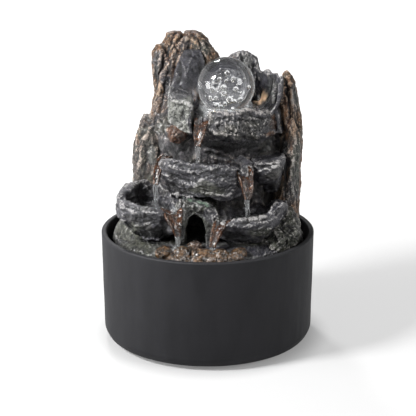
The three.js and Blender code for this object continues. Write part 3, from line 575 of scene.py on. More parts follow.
        (0.8, 1.4, 0.9, [(16.6, 99.5), (21.7, 100.8), (34.2, 100.8), (44.3, 102.1), (53, 104.8),
            (60.5, 108.7), (65.7, 112.7), (71, 115.6)]),
        (-0.6, 1.2, 0, [(19.1, 103.4), (30.4, 103.4), (41.7, 104.8), (51.7, 107.4), (59.2, 112.9),
            (65.4, 118.2)]),
        (1.2, 1.2, 0.8, [(16.6, 99.1), (21.7, 94.4), (29.3, 90.2), (35, 84.1), (35.9, 79.5)]),
        (0.9, 1.1, 0.8, [(35, 89.1), (43.1, 90.5), (51.9, 91.8), (58.2, 95.8)]),
        (-1.2, 1.2, 0, [(39.3, 97.1), (48.1, 97.1), (56.8, 101.1)]),
    ],
    "bridge_rock": [
        (0.9, 0.9, 0.3, [(-25.6, 130.2), (-20.9, 128.4), (-14.7, 125.9), (-5.9, 122.6), (3.1, 120.1),
            (-2.8, 116.9)]),
        (0.9, 0.8, 0.9, [(-10.6, 120.5), (-7.7, 119.2), (-7.1, 116.9), (-8.2, 114.5), (-10.6, 113.5),
            (-13.1, 114.5), (-14, 116.9), (-13.3, 119.2), (-10.6, 120.5)]),
        (-0.8, 0.7, 0, [(-10.6, 118.4), (-9.2, 116.9), (-10.6, 115.6), (-12, 116.9), (-10.6, 118.4)]),
        (0.8, 0.9, 0.8, [(-25.3, 127.3), (-24.7, 119.5), (-22.3, 110.3), (-21, 102.4)]),
        (0.8, 0.9, 0.6, [(-20.9, 124.7), (-22, 115.6), (-20.4, 107.7)]),
        (-0.9, 0.9, 0, [(-23.2, 126), (-23.5, 118.2), (-21.5, 109)]),
        (0.9, 1, 1, [(-2.8, 116.6), (2.2, 114.2), (4.7, 109), (3.8, 101.1), (3.1, 95.8)]),
        (0.8, 0.9, 0.9, [(-0.9, 116.9), (6.6, 116.6), (8.4, 112.9), (5.6, 107.7)]),
    ],
    "deck_rock": [
        (-1.2, 0.9, 0, [(-40.4, 75.8), (-37.7, 69.1)]), (-1.2, 0.9, 0, [(-30, 74.5), (-28.8, 67.8)]),
        (-1.2, 0.9, 0, [(-24.4, 73.8), (-25, 67.8)]), (-1.2, 0.9, 0, [(-14.9, 73.1), (-15.5, 67.1)]),
        (-1.2, 0.9, 0, [(-4.1, 71.8), (-3.7, 66.4)]), (-1.2, 0.9, 0, [(7.3, 71.8), (8.5, 66.4)]),
        (-1.2, 0.9, 0, [(17.4, 71.8), (18, 66.7)]), (-1.2, 0.9, 0, [(27.5, 72.5), (28.2, 67.5)]),
        (0.8, 1.2, 0.7, [(-55.2, 81.1), (-48.9, 79.1), (-42.6, 79.8), (-37.6, 77.8), (-31.3, 77.1)]),
        (0.8, 1, 0.8, [(-81.3, 102.4), (-73.9, 94.4), (-64, 87.8), (-55.2, 83.8)]),
        (-0.8, 1.1, 0, [(-76.3, 103.7), (-71.4, 95.8), (-61.4, 89.1)]),
    ],
    "right_moss_rocks": [
        (1.1, 1.2, 0.8, [(70.4, 115.6), (72.4, 107.7), (79.4, 102.4), (82.1, 94.4)]),
        (-1.3, 1.3, 0, [(65.5, 107.7), (67, 97.1), (72.1, 89.1), (71, 82.5)]),
        (1, 1.2, 0.7, [(59.4, 97.1), (63.3, 89.1), (62.2, 81.1)]),
        (-1.2, 1.2, 0, [(75.7, 102.4), (77.1, 91.8), (79.7, 86.5)]),
    ],
}
# Hollows pressed back: depth, middle, half width, half height and turn in degrees.
PRESSED = {
    "ball_shelf_rock": [
        (7, 31, 174, 34.7, 7.9, 0), (5, 6.1, 176.6, 10.5, 6.3, 0),
    ],
    "middle_basin_rock": [
        (5, 51.8, 134.4, 8.9, 7.9, 0), (5.5, -28.4, 134.4, 15.8, 6.3, -15),
        (2.5, -23.1, 144.8, 12.6, 3.7, -12), (4, 27.1, 146.4, 2.3, 9.5, 0),
    ],
    "lower_left_rock": [
        (7, -55.1, 90.5, 22.5, 7.5, 8), (3, -37.4, 103.7, 3.8, 7.5, 0),
        (4.5, -60, 103.4, 21.9, 6.5, 0),
    ],
    "lower_right_rock": [
        (6, 23, 87.8, 11.9, 6, 0), (4, 45.7, 85.1, 11.3, 5, 0), (3.5, 39.3, 93.8, 21.3, 4.8, -8),
    ],
    "bridge_rock": [
        (2.5, -9.7, 110.3, 9.4, 3.8, 0),
    ],
    "deck_rock": [
        (-2.2, -42.7, 75.8, 5.6, 2.5, 0), (-2.2, -33.8, 73.8, 5.6, 2.8, 0),
        (-2.2, -26.2, 75.8, 4, 2, 0), (-2.2, -20.6, 71.5, 4.5, 3, 0), (-2.2, -8.6, 71.1, 6.3, 3, 0),
        (-2.2, 2.8, 70.4, 7.5, 3.3, 0), (-2.2, 13, 71, 5, 3, 0), (-2.2, 23.1, 70.7, 6.3, 2.5, 0),
        (-2.2, 30.7, 71.8, 4.3, 2, 0),
    ],
}
# Washes of colour, among them painted shade in undercuts and caves and one painted lamp glow: which, how
# much, middle, half width, half height and turn.
TINTED = {
    "crest_rocks": [
        ("rust", 0.85, -25.9, 275.9, 4.7, 4.2, 0), ("rust", 0.85, -13.3, 275.4, 5.8, 4, 0),
        ("rust", 0.6, -30.5, 266.7, 2.3, 6.3, 15), ("rust", 0.45, -1.1, 266.7, 3.2, 6.3, -35),
        ("rust", 0.35, -20.4, 265.7, 7.4, 3.7, 0), ("moss", 0.6, -41.9, 247.2, 5.3, 11.6, 0),
        ("moss", 0.5, -4.2, 259.6, 6.3, 9.5, -35), ("slate", 0.9, -40.4, 192.6, 9.5, 9.5, 0),
        ("slate", 0.7, -35.4, 228.5, 4.2, 11.6, 15), ("rust", 0.35, -38.1, 214.8, 3.7, 7.4, 0),
        ("rust", 0.5, 19.7, 253.4, 4.7, 2.3, 0), ("slate", 0.9, 34.5, 250.3, 8.4, 6.3, 0),
        ("pale", 0.4, 33.5, 252.3, 7.4, 4.2, 0), ("hollow", 0.32, -39, 247.2, 8.9, 17.9, 0),
        ("rust", 0.35, -39, 247.2, 7.4, 13.7, 0), ("pale", 0.5, 32, 247.2, 6.9, 5.8, 0),
        ("hollow", 0.25, -41.4, 192.6, 9.5, 12.6, 0),
    ],
    "slate_slabs": [
        ("rust", 0.7, -10.4, 222.2, 2.3, 6.3, 0), ("rust", 0.35, -16, 224.3, 4.2, 3.2, 0),
        ("pale", 0.35, 55.2, 226.4, 4.2, 11.6, 0), ("rust", 0.75, 43.6, 214.8, 4, 3.2, 0),
        ("glow", 1, 46.6, 218.5, 4.2, 5.5, -25), ("hollow", 0.7, -2.1, 236.8, 2.3, 12.6, 5),
        ("hollow", 0.6, -25.2, 225.3, 4.2, 3.2, 0), ("hollow", 0.34, -16.4, 242, 11.6, 16.8, 0),
    ],
    "left_side_rocks": [
        ("pale", 0.6, -49.5, 167, 4.2, 8.4, 0), ("brown", 0.7, -61.2, 184.1, 3.7, 12.6, 10),
        ("slate", 0.8, -44.5, 192.6, 5.3, 6.3, 0), ("hollow", 1.3, -52.6, 90.5, 16.3, 5.6, 0),
    ],
    "left_block_rock": [
        ("slate", 0.9, -14, 198, 3.4, 12.6, 0), ("slate", 1, -23.7, 223.2, 12.6, 6.5, 8),
        ("hollow", 0.16, -23.8, 204.3, 9.5, 9.5, 0),
    ],
    "ball_shelf_rock": [
        ("hollow", 0.9, 31, 174.5, 33.6, 6.5, 0), ("rust", 0.8, 59.2, 196.9, 6.3, 7.4, 0),
        ("rust", 0.85, 55.3, 185.7, 6.3, 2.3, 0), ("moss", 0.5, 46.4, 194.8, 11.6, 6.3, 0),
        ("slate", 0.5, 10.2, 194.8, 6.3, 6.3, 0),
    ],
    "middle_basin_rock": [
        ("hollow", 1, 51.8, 133.9, 8.4, 6.8, 0), ("hollow", 0.8, -31.5, 136.6, 13.7, 4.7, -20),
        ("pale", 0.75, -2.2, 138.2, 10, 5.3, 0), ("moss", 0.8, -0.1, 134.4, 16.8, 5.3, 0),
        ("slate", 0.8, -26.2, 157.3, 16.8, 6.3, 0), ("pale", 0.3, 61.5, 147.5, 4.7, 7.4, 0),
        ("rust", 0.6, 16.6, 158.9, 10.5, 1.9, 0), ("hollow", 0.6, -0.1, 161.6, 31.5, 4.7, 0),
        ("hollow", 0.36, -6.4, 156.2, 34.7, 3.6, 0),
    ],
    "rear_wall_rock": [
        ("hollow", 1, 25.8, 175.6, 34.7, 8.4, 0), ("hollow", 0.8, -29.2, 171.3, 10.5, 8.4, 0),
        ("rust", 0.7, 18.6, 158.9, 11.6, 2.1, 0),
    ],
    "right_blade_rock": [
        ("pale", 0.35, 75.8, 222.2, 3.2, 16.8, 0), ("rust", 0.8, 68.9, 220.1, 2.7, 10.5, 0),
        ("rust", 0.8, 71.4, 194.8, 2.9, 7.4, 0), ("moss", 0.75, 77.3, 224.3, 3.7, 16.8, 0),
        ("slate", 0.9, 67, 165.9, 5.3, 15.8, 0), ("moss", 0.8, 78.1, 155.1, 5.3, 27.3, 0),
        ("slate", 0.5, 73.3, 133.3, 6.3, 12.6, 0), ("pale", 0.45, 55.2, 228.5, 6.3, 16.8, 0),
    ],
    "lower_left_rock": [
        ("hollow", 1, -53.9, 90.5, 23.8, 7.3, 6), ("hollow", 0.9, -61.5, 129.3, 9.4, 6.9, 0),
        ("moss", 0.6, -66.3, 99.7, 8.8, 5, 0), ("pale", 0.25, -58.6, 110.3, 15, 3.1, 0),
        ("hollow", 0.35, -58.7, 102.4, 21.3, 5, 0), ("hollow", 0.34, -58.5, 115.6, 18.8, 5.6, 0),
        ("hollow", 0.8, -49.8, 94.2, 16.3, 7.5, 0),
    ],
    "lower_right_rock": [
        ("hollow", 1, 23.6, 88.5, 10.6, 5.3, 0), ("hollow", 0.7, 47, 84.5, 12.5, 4.5, 0),
        ("hollow", 0.6, 29.1, 118.2, 25, 7.5, 0), ("moss", 0.7, 48.1, 94.4, 13.8, 6.3, 0),
        ("slate", 0.8, 64.1, 116.9, 8.8, 6.3, 0), ("hollow", 0.28, 39.8, 104.4, 21.9, 4.3, 0),
    ],
    "bridge_rock": [
        ("mint", 0.62, -10.9, 124.1, 16.3, 2.8, -20), ("mint", 0.5, -23.4, 128.6, 3.8, 3.8, 0),
        ("hollow", 1, -9.7, 102.4, 9.4, 10, 0), ("slate", 0.9, 2.8, 110.3, 6.3, 6.3, 0),
        ("pale", 0.4, -23.5, 119.5, 3.1, 8.8, 0), ("hollow", 1.7, -23, 91.8, 5, 10, 0),
        ("hollow", 1.5, 1.3, 88.5, 4.3, 6.9, 0),
    ],
    "deck_rock": [
        ("hollow", 0.9, -9.8, 89.1, 15, 5.6, 0), ("hollow", 0.7, -52.6, 87.1, 20, 3.1, 0),
        ("hollow", 0.7, 35.6, 81.1, 18.8, 3.1, 0), ("pale", 0.75, -77.7, 97.1, 9.4, 10, 0),
        ("gold", 0.8, -36.4, 71.8, 7.5, 5, 0), ("gold", 0.7, -21.2, 70.4, 8.8, 5, 0),
        ("gold", 0.9, 1.6, 69.4, 18.8, 4.8, 0), ("gold", 0.7, 24.4, 69.8, 10, 4, 0),
        ("pale", 0.5, -22.4, 75.8, 6.3, 2.8, 0), ("slate", 0.8, 4.1, 79.1, 28.8, 2.5, 0),
        ("slate", 0.8, 52.1, 77.1, 17.5, 5, 0), ("hollow", 1.2, -52, 89.8, 16.3, 5, 0),
    ],
    "right_moss_rocks": [
        ("rust", 0.5, 79.2, 112.9, 3.8, 5, 0), ("pale", 0.3, 75.7, 99.7, 6.3, 3.8, 0),
        ("hollow", 0.3, 75.7, 102.4, 8.8, 15, 0),
    ],
    "cave_pebble": [
        ("gold", 0.5, -11, 83.8, 11.3, 7.5, 0),
    ],
}
# The pebbles share one golden wash, and the channels one even darkening.
PEBBLE_WASH = [("gold", 0.85, -6, 74.5, 52.5, 11.3, 0), ("hollow", 0.3, -6, 74.5, 52.5, 11.3, 0)]
CHANNEL_WASH = [("hollow", 0.22, 14.5, 160.5, 126.2, 126.2, 0)]
PEBBLES = range(1, 6)
SPOUTS = ["ball", "middle_left", "middle_right", "lower_left", "lower_right"]
for number in PEBBLES:
    TINTED[f"pebble_stone_{number}"] = PEBBLE_WASH
for end in SPOUTS:
    TINTED[f"channel_{end}"] = CHANNEL_WASH


def on_drawing(spots):
    """Where each place falls on the front drawing, as (across, up) in millimetres."""
    ray = spots / MM - EYE
    return (EYE + ray * (-EYE[1] / ray[:, 1:2]))[:, (0, 2)]


def facing(spots, normals):
    """1 where the stone looks at the eye point, 0 where it looks away."""
    ray = EYE - spots / MM
    ray /= np.linalg.norm(ray, axis=1)[:, None]
    return np.clip(np.sum(ray * normals, axis=1) * 2.2 + 0.1, 0, 1)


def line_share(drawn, line, width):
    """1 on a drawn line, falling to 0 about two widths away, thinner at both ends."""
    best = np.full(len(drawn), 1e9)
    place = np.zeros(len(drawn))
    for k, (a, b) in enumerate(zip(line, line[1:])):
        a, b = np.array(a), np.array(b)
        t = np.clip((drawn - a) @ (b - a) / max((b - a) @ (b - a), 1e-9), 0, 1)
        gap = np.linalg.norm(drawn - a - t[:, None] * (b - a), axis=1)
        place = np.where(gap < best, (k + t) / (len(line) - 1), place)
        best = np.minimum(best, gap)
    taper = np.clip(np.minimum(place, 1 - place) * 7, 0.15, 1)
    if line[0] == line[-1]:
        taper = 1
    return np.exp(-(best / width) ** 2) * taper


def oval_share(drawn, x, z, wide, tall, turn, soft=0.35):
    """1 inside an oval, easing to 0 just outside it."""
    c, s = math.cos(math.radians(turn)), math.sin(math.radians(turn))
    dx, dz = drawn[:, 0] - x, drawn[:, 1] - z
    gap = np.hypot((dx * c + dz * s) / wide, (-dx * s + dz * c) / tall)
    t = np.clip((1 + soft - gap) / (2 * soft), 0, 1)
    return t * t * (3 - 2 * t)


def carve(name, mesh):
    """Cuts this rock's own ridges, grooves and hollows."""
    spots, normals = spots_of(mesh), outward(mesh)
    bend = np.stack([cloudy(spots / MM / 9, 700 + k, 3) for k in range(2)], axis=1) * 1.6
    drawn, front = on_drawing(spots) + bend, facing(spots, normals)
    back = spots / MM - EYE
    back /= np.linalg.norm(back, axis=1)[:, None]
    moved = spots.copy()
    for depth, x, z, wide, tall, turn in PRESSED.get(name, []):
        way = back if depth > 0 else -normals
        moved += way * (oval_share(drawn, x, z, wide, tall, turn, 0.5) * front * depth * MM)[:, None]
    for lift, width, _, line in CARVED.get(name, []):
        moved += normals * (line_share(drawn, line, width) * front * lift * MM)[:, None]
    set_spots(mesh, moved)


# ---------------------------------------------------------------- rocks
SHADES = ("brown", "slate", "moss", "pale", "rust", "wet")
# For each CAD rock: shares of those six in its colouring.
TINTS = {
    "left_spire": (0.85, 0.0, 0.1, 0.0, 0.0, 0.0), "middle_spire": (0.9, 0.0, 0.0, 0.0, 0.1, 0.0),
    "tall_spire": (0.85, 0.1, 0.0, 0.0, 0.15, 0.0), "left_buttress": (0.6, 0.0, 0.15, 0.15, 0.0, 0.0),
    "inner_slab": (0.0, 1.0, 0.0, 0.0, 0.0, 0.1), "mid_peak": (0.1, 0.75, 0.0, 0.0, 0.0, 0.0),
    "cup_wall": (0.05, 1.0, 0.0, 0.0, 0.0, 0.1), "right_blade": (0.8, 0.0, 0.12, 0.05, 0.1, 0.0),
    "left_ledge": (0.45, 0.0, 0.45, 0.1, 0.0, 0.0), "ball_shelf": (0.12, 0.0, 0.34, 0.1, 0.0, 0.1),
    "left_block": (0.0, 0.0, 0.1, 0.85, 0.0, 0.0), "rust_stone": (0.0, 0.0, 0.0, 0.0, 0.85, 0.15),
    "middle_basin": (0.0, 0.25, 0.12, 0.05, 0.0, 0.15), "right_lip": (0.0, 0.45, 0.15, 0.05, 0.0, 0.0),
    "lower_left_basin": (0.0, 0.35, 0.1, 0.05, 0.0, 0.15), "left_bank": (0.0, 0.0, 0.85, 0.1, 0.0, 0.1),
    "lower_right_basin": (0.0, 0.3, 0.2, 0.05, 0.0, 0.15),
    "right_moss_rock": (0.1, 0.0, 0.8, 0.0, 0.0, 0.1), "arch_stone": (0.0, 0.1, 0.65, 0.1, 0.0, 0.2),
    "rear_wall": (0.3, 0.1, 0.35, 0.0, 0.0, 0.1), "plinth": (0.0, 0.1, 0.55, 0.0, 0.0, 0.35),
    "cave_stone": (0.0, 0.0, 0.0, 0.1, 0.7, 0.8),
}
for number in PEBBLES:
    TINTS[f"pebble_{number}"] = (0.0, 0.0, 0.0, 0.12, 0.85, 0.9)
for end in SPOUTS:
    TINTS[f"spout_{end}"] = (0.0, 0.0, 0.0, 0.0, 1.0, 1.0)


def tint_points(mesh, nodes, web):
    """Colour shares for every point from the CAD rock it lies on, with soft ragged borders."""
    corners, faces, owner = [], [], []
    for k, node in enumerate(nodes):
        data = frame["nodes"][node].data
        start = len(corners)
        corners += [v.co.copy() for v in data.vertices]
        faces += [[start + i for i in f.vertices] for f in data.polygons]
        owner += [k] * len(data.polygons)
    table = np.array([TINTS[n] for n in nodes])
    if len(nodes) == 1:
        shares = np.repeat(table, len(mesh.vertices), axis=0)
    else:
        tree = BVHTree.FromPolygons(corners, faces)
        find = tree.find_nearest
        spots = spots_of(mesh)
        wobble = np.stack([cloudy(spots / 0.009, 400 + k, 2) for k in range(3)], axis=1) * 0.0016
        hits = [find(Vector(s))[2] for s in spots + wobble]
        shares = table[np.array(owner)[np.array(hits)]]
    return web.smoothed(shares, 5)


def weather(mesh, name, nodes, seed, coarse=1.0, grain=(1, 1, 1), chips=0.9, crease=0.9,
            chip_size=15.0):
    """Breaks a smooth rock mesh into chipped, creased stone and stores what its paint needs."""
    spots, normals, web = spots_of(mesh), outward(mesh), Web(mesh)
    drawn, front = on_drawing(spots), facing(spots, normals)
    at = spots / MM * np.array(grain)
    bent = at + 3.0 * np.stack([cloudy(at / 11, seed + 60 + k, 3) for k in range(3)], axis=1)
    flat_height = chipped(bent / chip_size, seed)
    small_height = chipped(bent / (chip_size * 0.4), seed + 7)
    height = web.smoothed(chips * 3.6 * flat_height + chips * 1.3 * small_height, 1)
    height += crease * 1.9 * (creased(bent / 8, seed + 20, 3, 0.6) - 0.5)
    height += crease * 0.95 * (creased(bent / 3.1, seed + 25, 2, 0.6) - 0.5)
    height += 0.9 * cloudy(at / 15, seed + 30, 2)
    moved = spots + normals * np.clip(height * coarse, -2.8, 2.3)[:, None] * MM
    crown = cad_high.z - 0.0028
    moved[:, 2] = np.where(moved[:, 2] > crown, crown + (moved[:, 2] - crown) * 0.45, moved[:, 2])
    set_spots(mesh, moved)
    spots, normals = spots_of(mesh), outward(mesh)
    step = np.sqrt(np.mean(np.sum((spots[web.a] - spots[web.b]) ** 2, axis=1)))
    tight = np.sum((spots - web.mean(spots)) * normals, axis=1) / step
    wide_spots = web.smoothed(spots, 12)
    wide = np.sum((spots - wide_spots) * normals, axis=1) / (step * 2.0)
    broad = np.sum((spots - web.smoothed(wide_spots, 60)) * normals, axis=1) / (step * 5.5)
    # Painted highlight and painted shade as light from above would fall: the pale ridge share fades on faces
    # that look down, and undersides join hollows and creases in the hollow share.
    up = np.clip(0.80 + 0.85 * normals[:, 2], 0.04, 1)
    ridge = (web.smoothed(tight, 1) * 2.0 + wide * 1.1 + broad * 0.3) * up
    under = np.clip(-normals[:, 2] - 0.25, 0, 1) * 0.7
    hollow = -(tight * 1.2 + wide * 1.4 + broad * 1.1) + under
    # Drawn lines add their pale to the ridge share; grooves add painted shade and raised lines take a little
    # away.
    for lift, width, pale, line in CARVED.get(name, []):
        share = line_share(drawn, line, width * 1.1) * front
        ridge += share * pale * 0.36
        hollow += share * (0.7 if lift < 0 else -0.2)
    shares = dict(zip(SHADES, tint_points(mesh, nodes, web).T))
    for key in ("glow", "mint", "gold"):
        shares[key] = np.zeros(len(spots))
    ragged = drawn + np.stack([cloudy(spots / MM / 6, 800 + k, 4) for k in range(2)], axis=1) * 3.2
    for which, amount, x, z, wide_, tall, turn in TINTED.get(name, []):
        share = oval_share(ragged, x, z, wide_, tall, turn, 0.9 if which == "glow" else 0.35) * front * amount
        # Hollow entries add painted shade, or on the pebbles and channels an even darker tone, and dim the
        # pale ridge share beneath them.
        if which == "hollow":
            share = oval_share(ragged, x, z, wide_, tall, turn) * amount * np.clip(front + 0.5, 0, 1)
            hollow += share * 0.75
            ridge = (np.minimum(ridge, 1.2) - share * 0.45) * (1 - np.clip(share, 0, 1) * 0.55)
        else:
            for other in ("brown", "slate", "moss", "pale", "rust", "mint", "gold"):
                if other != which:
                    shares[other] = shares[other] * (1 - share)
            shares[which] = np.maximum(shares[which], share)
    ridge = np.minimum(ridge, 0.75 + 0.25 * ridge)
    put(mesh, "ridge", np.clip(ridge, 0, 1.2))
    put(mesh, "hollow", np.clip(hollow, 0, 1.4))
    for key, values in shares.items():
        put(mesh, key, values)
    smooth_shaded(mesh)


def lowered(name, nodes, swell, floor, rule):
    """A joined copy whose points that meet the rule are brought down to a height."""
    mesh = joined_copy(name, nodes, swell * MM)
    for v in mesh.vertices:
        if v.co.z > floor * MM and rule(v.co.x / MM, v.co.y / MM):
            v.co.z = floor * MM
    return mesh


def voxelled(piece, voxel, rounds):
    net = piece.modifiers.new("net", "REMESH")
    net.mode, net.voxel_size = "VOXEL", voxel * MM
    ease = piece.modifiers.new("ease", "SMOOTH")
    ease.factor, ease.iterations = 0.5, rounds
    return settled(piece)


def rock_piece(name, nodes, voxel, slot, seed, soften=2, swell=0.25, source=None, **look):
    """A weathered rock that stands for some CAD rocks."""
    piece = new_piece(name, source or joined_copy(name, nodes, swell * MM))
    if name in CARVED or name in PRESSED:
        carve(name, voxelled(piece, voxel, soften))
        soften = 1
    mesh = voxelled(piece, voxel, soften)
    mesh.name = name
    weather(mesh, name, nodes, seed, **look)
    mesh.materials.clear()
    mesh.materials.append(ROCK)
    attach(piece, "rockery")
    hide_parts(*nodes)
    return piece


UPRIGHT, LAYERED = (1.3, 1.3, 0.36), (0.75, 0.75, 1.35)
rock_piece("crest_rocks", ["left_spire", "middle_spire", "tall_spire", "left_buttress", "mid_peak"],
           0.78, "brown_rock", 3, grain=UPRIGHT, chips=0.7, crease=0.95, chip_size=11)


def cup_lining():
    """The smooth hollow the ball sits in: a curved sheet from the fin down to the shelf's floor."""
    across, up, thick = 40, 22, 2.6
    inner, points, faces = [], [], []
    for i in range(across + 1):
        turn = math.radians(-20 + 92 * i / across)
        edge = 234.5 - 1.5 * math.sin(i * 0.9) + 3.5 * max(0, i / across - 0.55)
        row = []
        for j in range(up + 1):
            t = j / up
            z = 203.2 + (edge - 203.2) * t ** 1.5
            r = 29 + 18.4 * (1 - (1 - t) ** 2.6)
            row.append((r, turn, z))
        inner.append(row)
    for shift in (0, thick):
        for row in inner:
            points += [((16 + (r + shift) * math.cos(a)) * MM, (2 + (r + shift) * math.sin(a)) * MM,
                        (z - (shift if shift and r < 40 else 0)) * MM) for r, a, z in row]
    wide, half = up + 1, (across + 1) * (up + 1)
    for i in range(across):
        for j in range(up):
            k = i * wide + j
            faces += [(k, k + wide, k + wide + 1, k + 1),
                      (half + k, half + k + 1, half + k + wide + 1, half + k + wide)]
    for i in range(across):
        for j in (0, up):
            k = i * wide + j
            faces.append((k, k + wide, half + k + wide, half + k))
    for j in range(up):
        for i in (0, across):
            k = i * wide + j
            faces.append((k, k + 1, half + k + 1, half + k))
    return mesh_from("lining", points, faces)


slabs = joined_copy("slabs", ["inner_slab", "cup_wall"], 0.25 * MM)
both = bmesh.new()
both.from_mesh(slabs)
both.from_mesh(cup_lining())
bmesh.ops.recalc_face_normals(both, faces=both.faces)
both.to_mesh(slabs)
both.free()
rock_piece("slate_slabs", ["inner_slab", "cup_wall"], 0.7, "dark_slate", 8, grain=(1, 1, 0.4),
           soften=4, chips=0.22, crease=0.25, source=slabs)
rock_piece("right_blade_rock", ["right_blade"], 0.72, "brown_rock", 12, grain=UPRIGHT, chips=0.75,
           crease=0.9, chip_size=12)
rock_piece("ball_shelf_rock", ["ball_shelf"], 0.7, "grey_rock", 17, chips=0.6, crease=1.15,
           source=lowered("shelf", ["ball_shelf"], 0.25, 204.5,
                          lambda x, y: math.hypot(x - 16, y - 2) > 26 and -18 < math.degrees(
                              math.atan2(y - 2, x - 16)) < 135))
rock_piece("left_block_rock", ["left_block"], 0.6, "pale_rock", 19, chips=0.4, crease=0.7)
rock_piece("rust_stone_rock", ["rust_stone"], 0.5, "rust_rock", 21, chips=1.1, crease=0.5, chip_size=7)
middle = rock_piece("middle_basin_rock", ["middle_basin", "right_lip"], 0.7, "grey_rock", 25,
                    grain=LAYERED, chips=0.75, crease=0.8,
                    source=lowered("middle", ["middle_basin", "right_lip"], 0.25, 161,
                                   lambda x, y: y > -17 and abs(x + 3) < 28))
low_left = rock_piece("lower_left_rock", ["lower_left_basin"], 0.7, "grey_rock", 29, grain=LAYERED,
                      chips=0.75, crease=0.65,
                      source=lowered("low_left", ["lower_left_basin"], 0.25, 130.5,
                                     lambda x, y: x > -32 and y > -30))
low_right = rock_piece("lower_right_rock", ["lower_right_basin"], 0.7, "grey_rock", 133,
                       grain=LAYERED, chips=0.9, crease=0.6,
                       source=lowered("low_right", ["lower_right_basin"], 0.25, 121.5,
                                      lambda x, y: y > -27 and x < 58))
bridge = rock_piece("bridge_rock", ["arch_stone"], 0.6, "mossy_rock", 36, chips=0.5, crease=0.7)
rock_piece("left_side_rocks", ["left_ledge", "left_bank"], 0.85, "mossy_rock", 39,
           grain=(1, 1, 0.5), chips=0.8, crease=0.8)
rock_piece("right_moss_rocks", ["right_moss_rock"], 0.7, "mossy_rock", 43, chips=0.9, crease=1.0,
           chip_size=11)
back_wall = rock_piece("rear_wall_rock", ["rear_wall"], 1.15, "grey_rock", 47, soften=4,
                       grain=(1, 1, 0.6), chips=0.9, crease=1.0, chip_size=18)


def clipped(name, node, low, high):
    """The part of a CAD node between two heights, as a closed mesh."""
    piece = new_piece(name, joined_copy(name, [node]))
    a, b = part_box(node)
    cage = new_piece("cage", bpy.data.meshes.new("cage"))
    shape = bmesh.new()
    bmesh.ops.create_cube(shape, size=1)
    for v in shape.verts:
        v.co = Vector(((a.x - 0.01) if v.co.x < 0 else (b.x + 0.01), (a.y - 0.01) if v.co.y < 0
                       else (b.y + 0.01), low if v.co.z < 0 else high))
    shape.to_mesh(cage.data)
    shape.free()
    cut = piece.modifiers.new("cut", "BOOLEAN")
    cut.operation, cut.solver, cut.object = "INTERSECT", "EXACT", cage
    mesh = settled(piece)
    bpy.data.objects.remove(piece)
    bpy.data.objects.remove(cage)
    return mesh


plinth_low, plinth_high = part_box("plinth")
seam = plinth_high.z - 0.0125
rock_piece("deck_rock", ["plinth"], 0.8, "mossy_rock", 51, chips=0.5, crease=0.7,
           source=clipped("deck", "plinth", seam, plinth_high.z + 0.01))
rock_piece("plinth_skirt", ["plinth"], 1.7, "mossy_rock", 55, chips=0.15, crease=0.2, coarse=0.4,
           source=clipped("skirt", "plinth", plinth_low.z - 0.01, seam - 0.0002))
for k in PEBBLES:
    rock_piece(f"pebble_stone_{k}", [f"pebble_{k}"], 0.45, "wet_pebble", 60 + k, chips=0.35,
               crease=0.3, chip_size=8)
rock_piece("cave_pebble", ["cave_stone"], 0.45, "rust_rock", 70, chips=0.4, crease=0.4, chip_size=6)
for k, end in enumerate(SPOUTS):
    rock_piece(f"channel_{end}", [f"spout_{end}"], 0.4, "rust_rock", 80 + k, soften=4,
               grain=(1, 1, 0.5), chips=0.22, crease=0.3, chip_size=5)


# ---------------------------------------------------------------- growing trees
class Tree:
    """A geometry node tree with named inputs, built node by node."""

    def __init__(self, name, inputs):
        self.tree = bpy.data.node_groups.new(name, "GeometryNodeTree")
        face = self.tree.interface
        face.new_socket("Geometry", in_out="INPUT", socket_type="NodeSocketGeometry")
        self.sockets = {}
        for label, (kind, value) in inputs.items():
            made = face.new_socket(label, in_out="INPUT", socket_type=kind)
            if value is not None:
                made.default_value = value
            self.sockets[label] = made.identifier
        face.new_socket("Geometry", in_out="OUTPUT", socket_type="NodeSocketGeometry")
        self.start = self.tree.nodes.new("NodeGroupInput")

    def given(self, label):
        return self.start.outputs[label]

    def node(self, kind, settings=None, sockets=None, out=0):
        made = self.tree.nodes.new(kind)
        for key, value in (settings or {}).items():
            setattr(made, key, value)
        for key, value in (sockets or {}).items():
            if isinstance(value, bpy.types.NodeSocket):
                self.tree.links.new(value, made.inputs[key])
            else:
                made.inputs[key].default_value = value
        return made.outputs[out]

    def end(self, geometry):
        whole = self.node("GeometryNodeRealizeInstances", None, {0: geometry})
        dressed = self.node("GeometryNodeSetMaterial", None,
                            {"Geometry": whole, "Material": self.given("Material")})
        last = self.tree.nodes.new("NodeGroupOutput")
        self.tree.links.new(dressed, last.inputs[0])

    def grow(self, name, base_mesh, **values):
        """A plain mesh piece grown by this tree from a base mesh."""
        piece = new_piece(name, base_mesh)
        step = piece.modifiers.new("grow", "NODES")
        step.node_group = self.tree
        for label, value in values.items():
            step[self.sockets[label]] = value
        settled(piece)
        smooth_shaded(piece.data)
        return piece


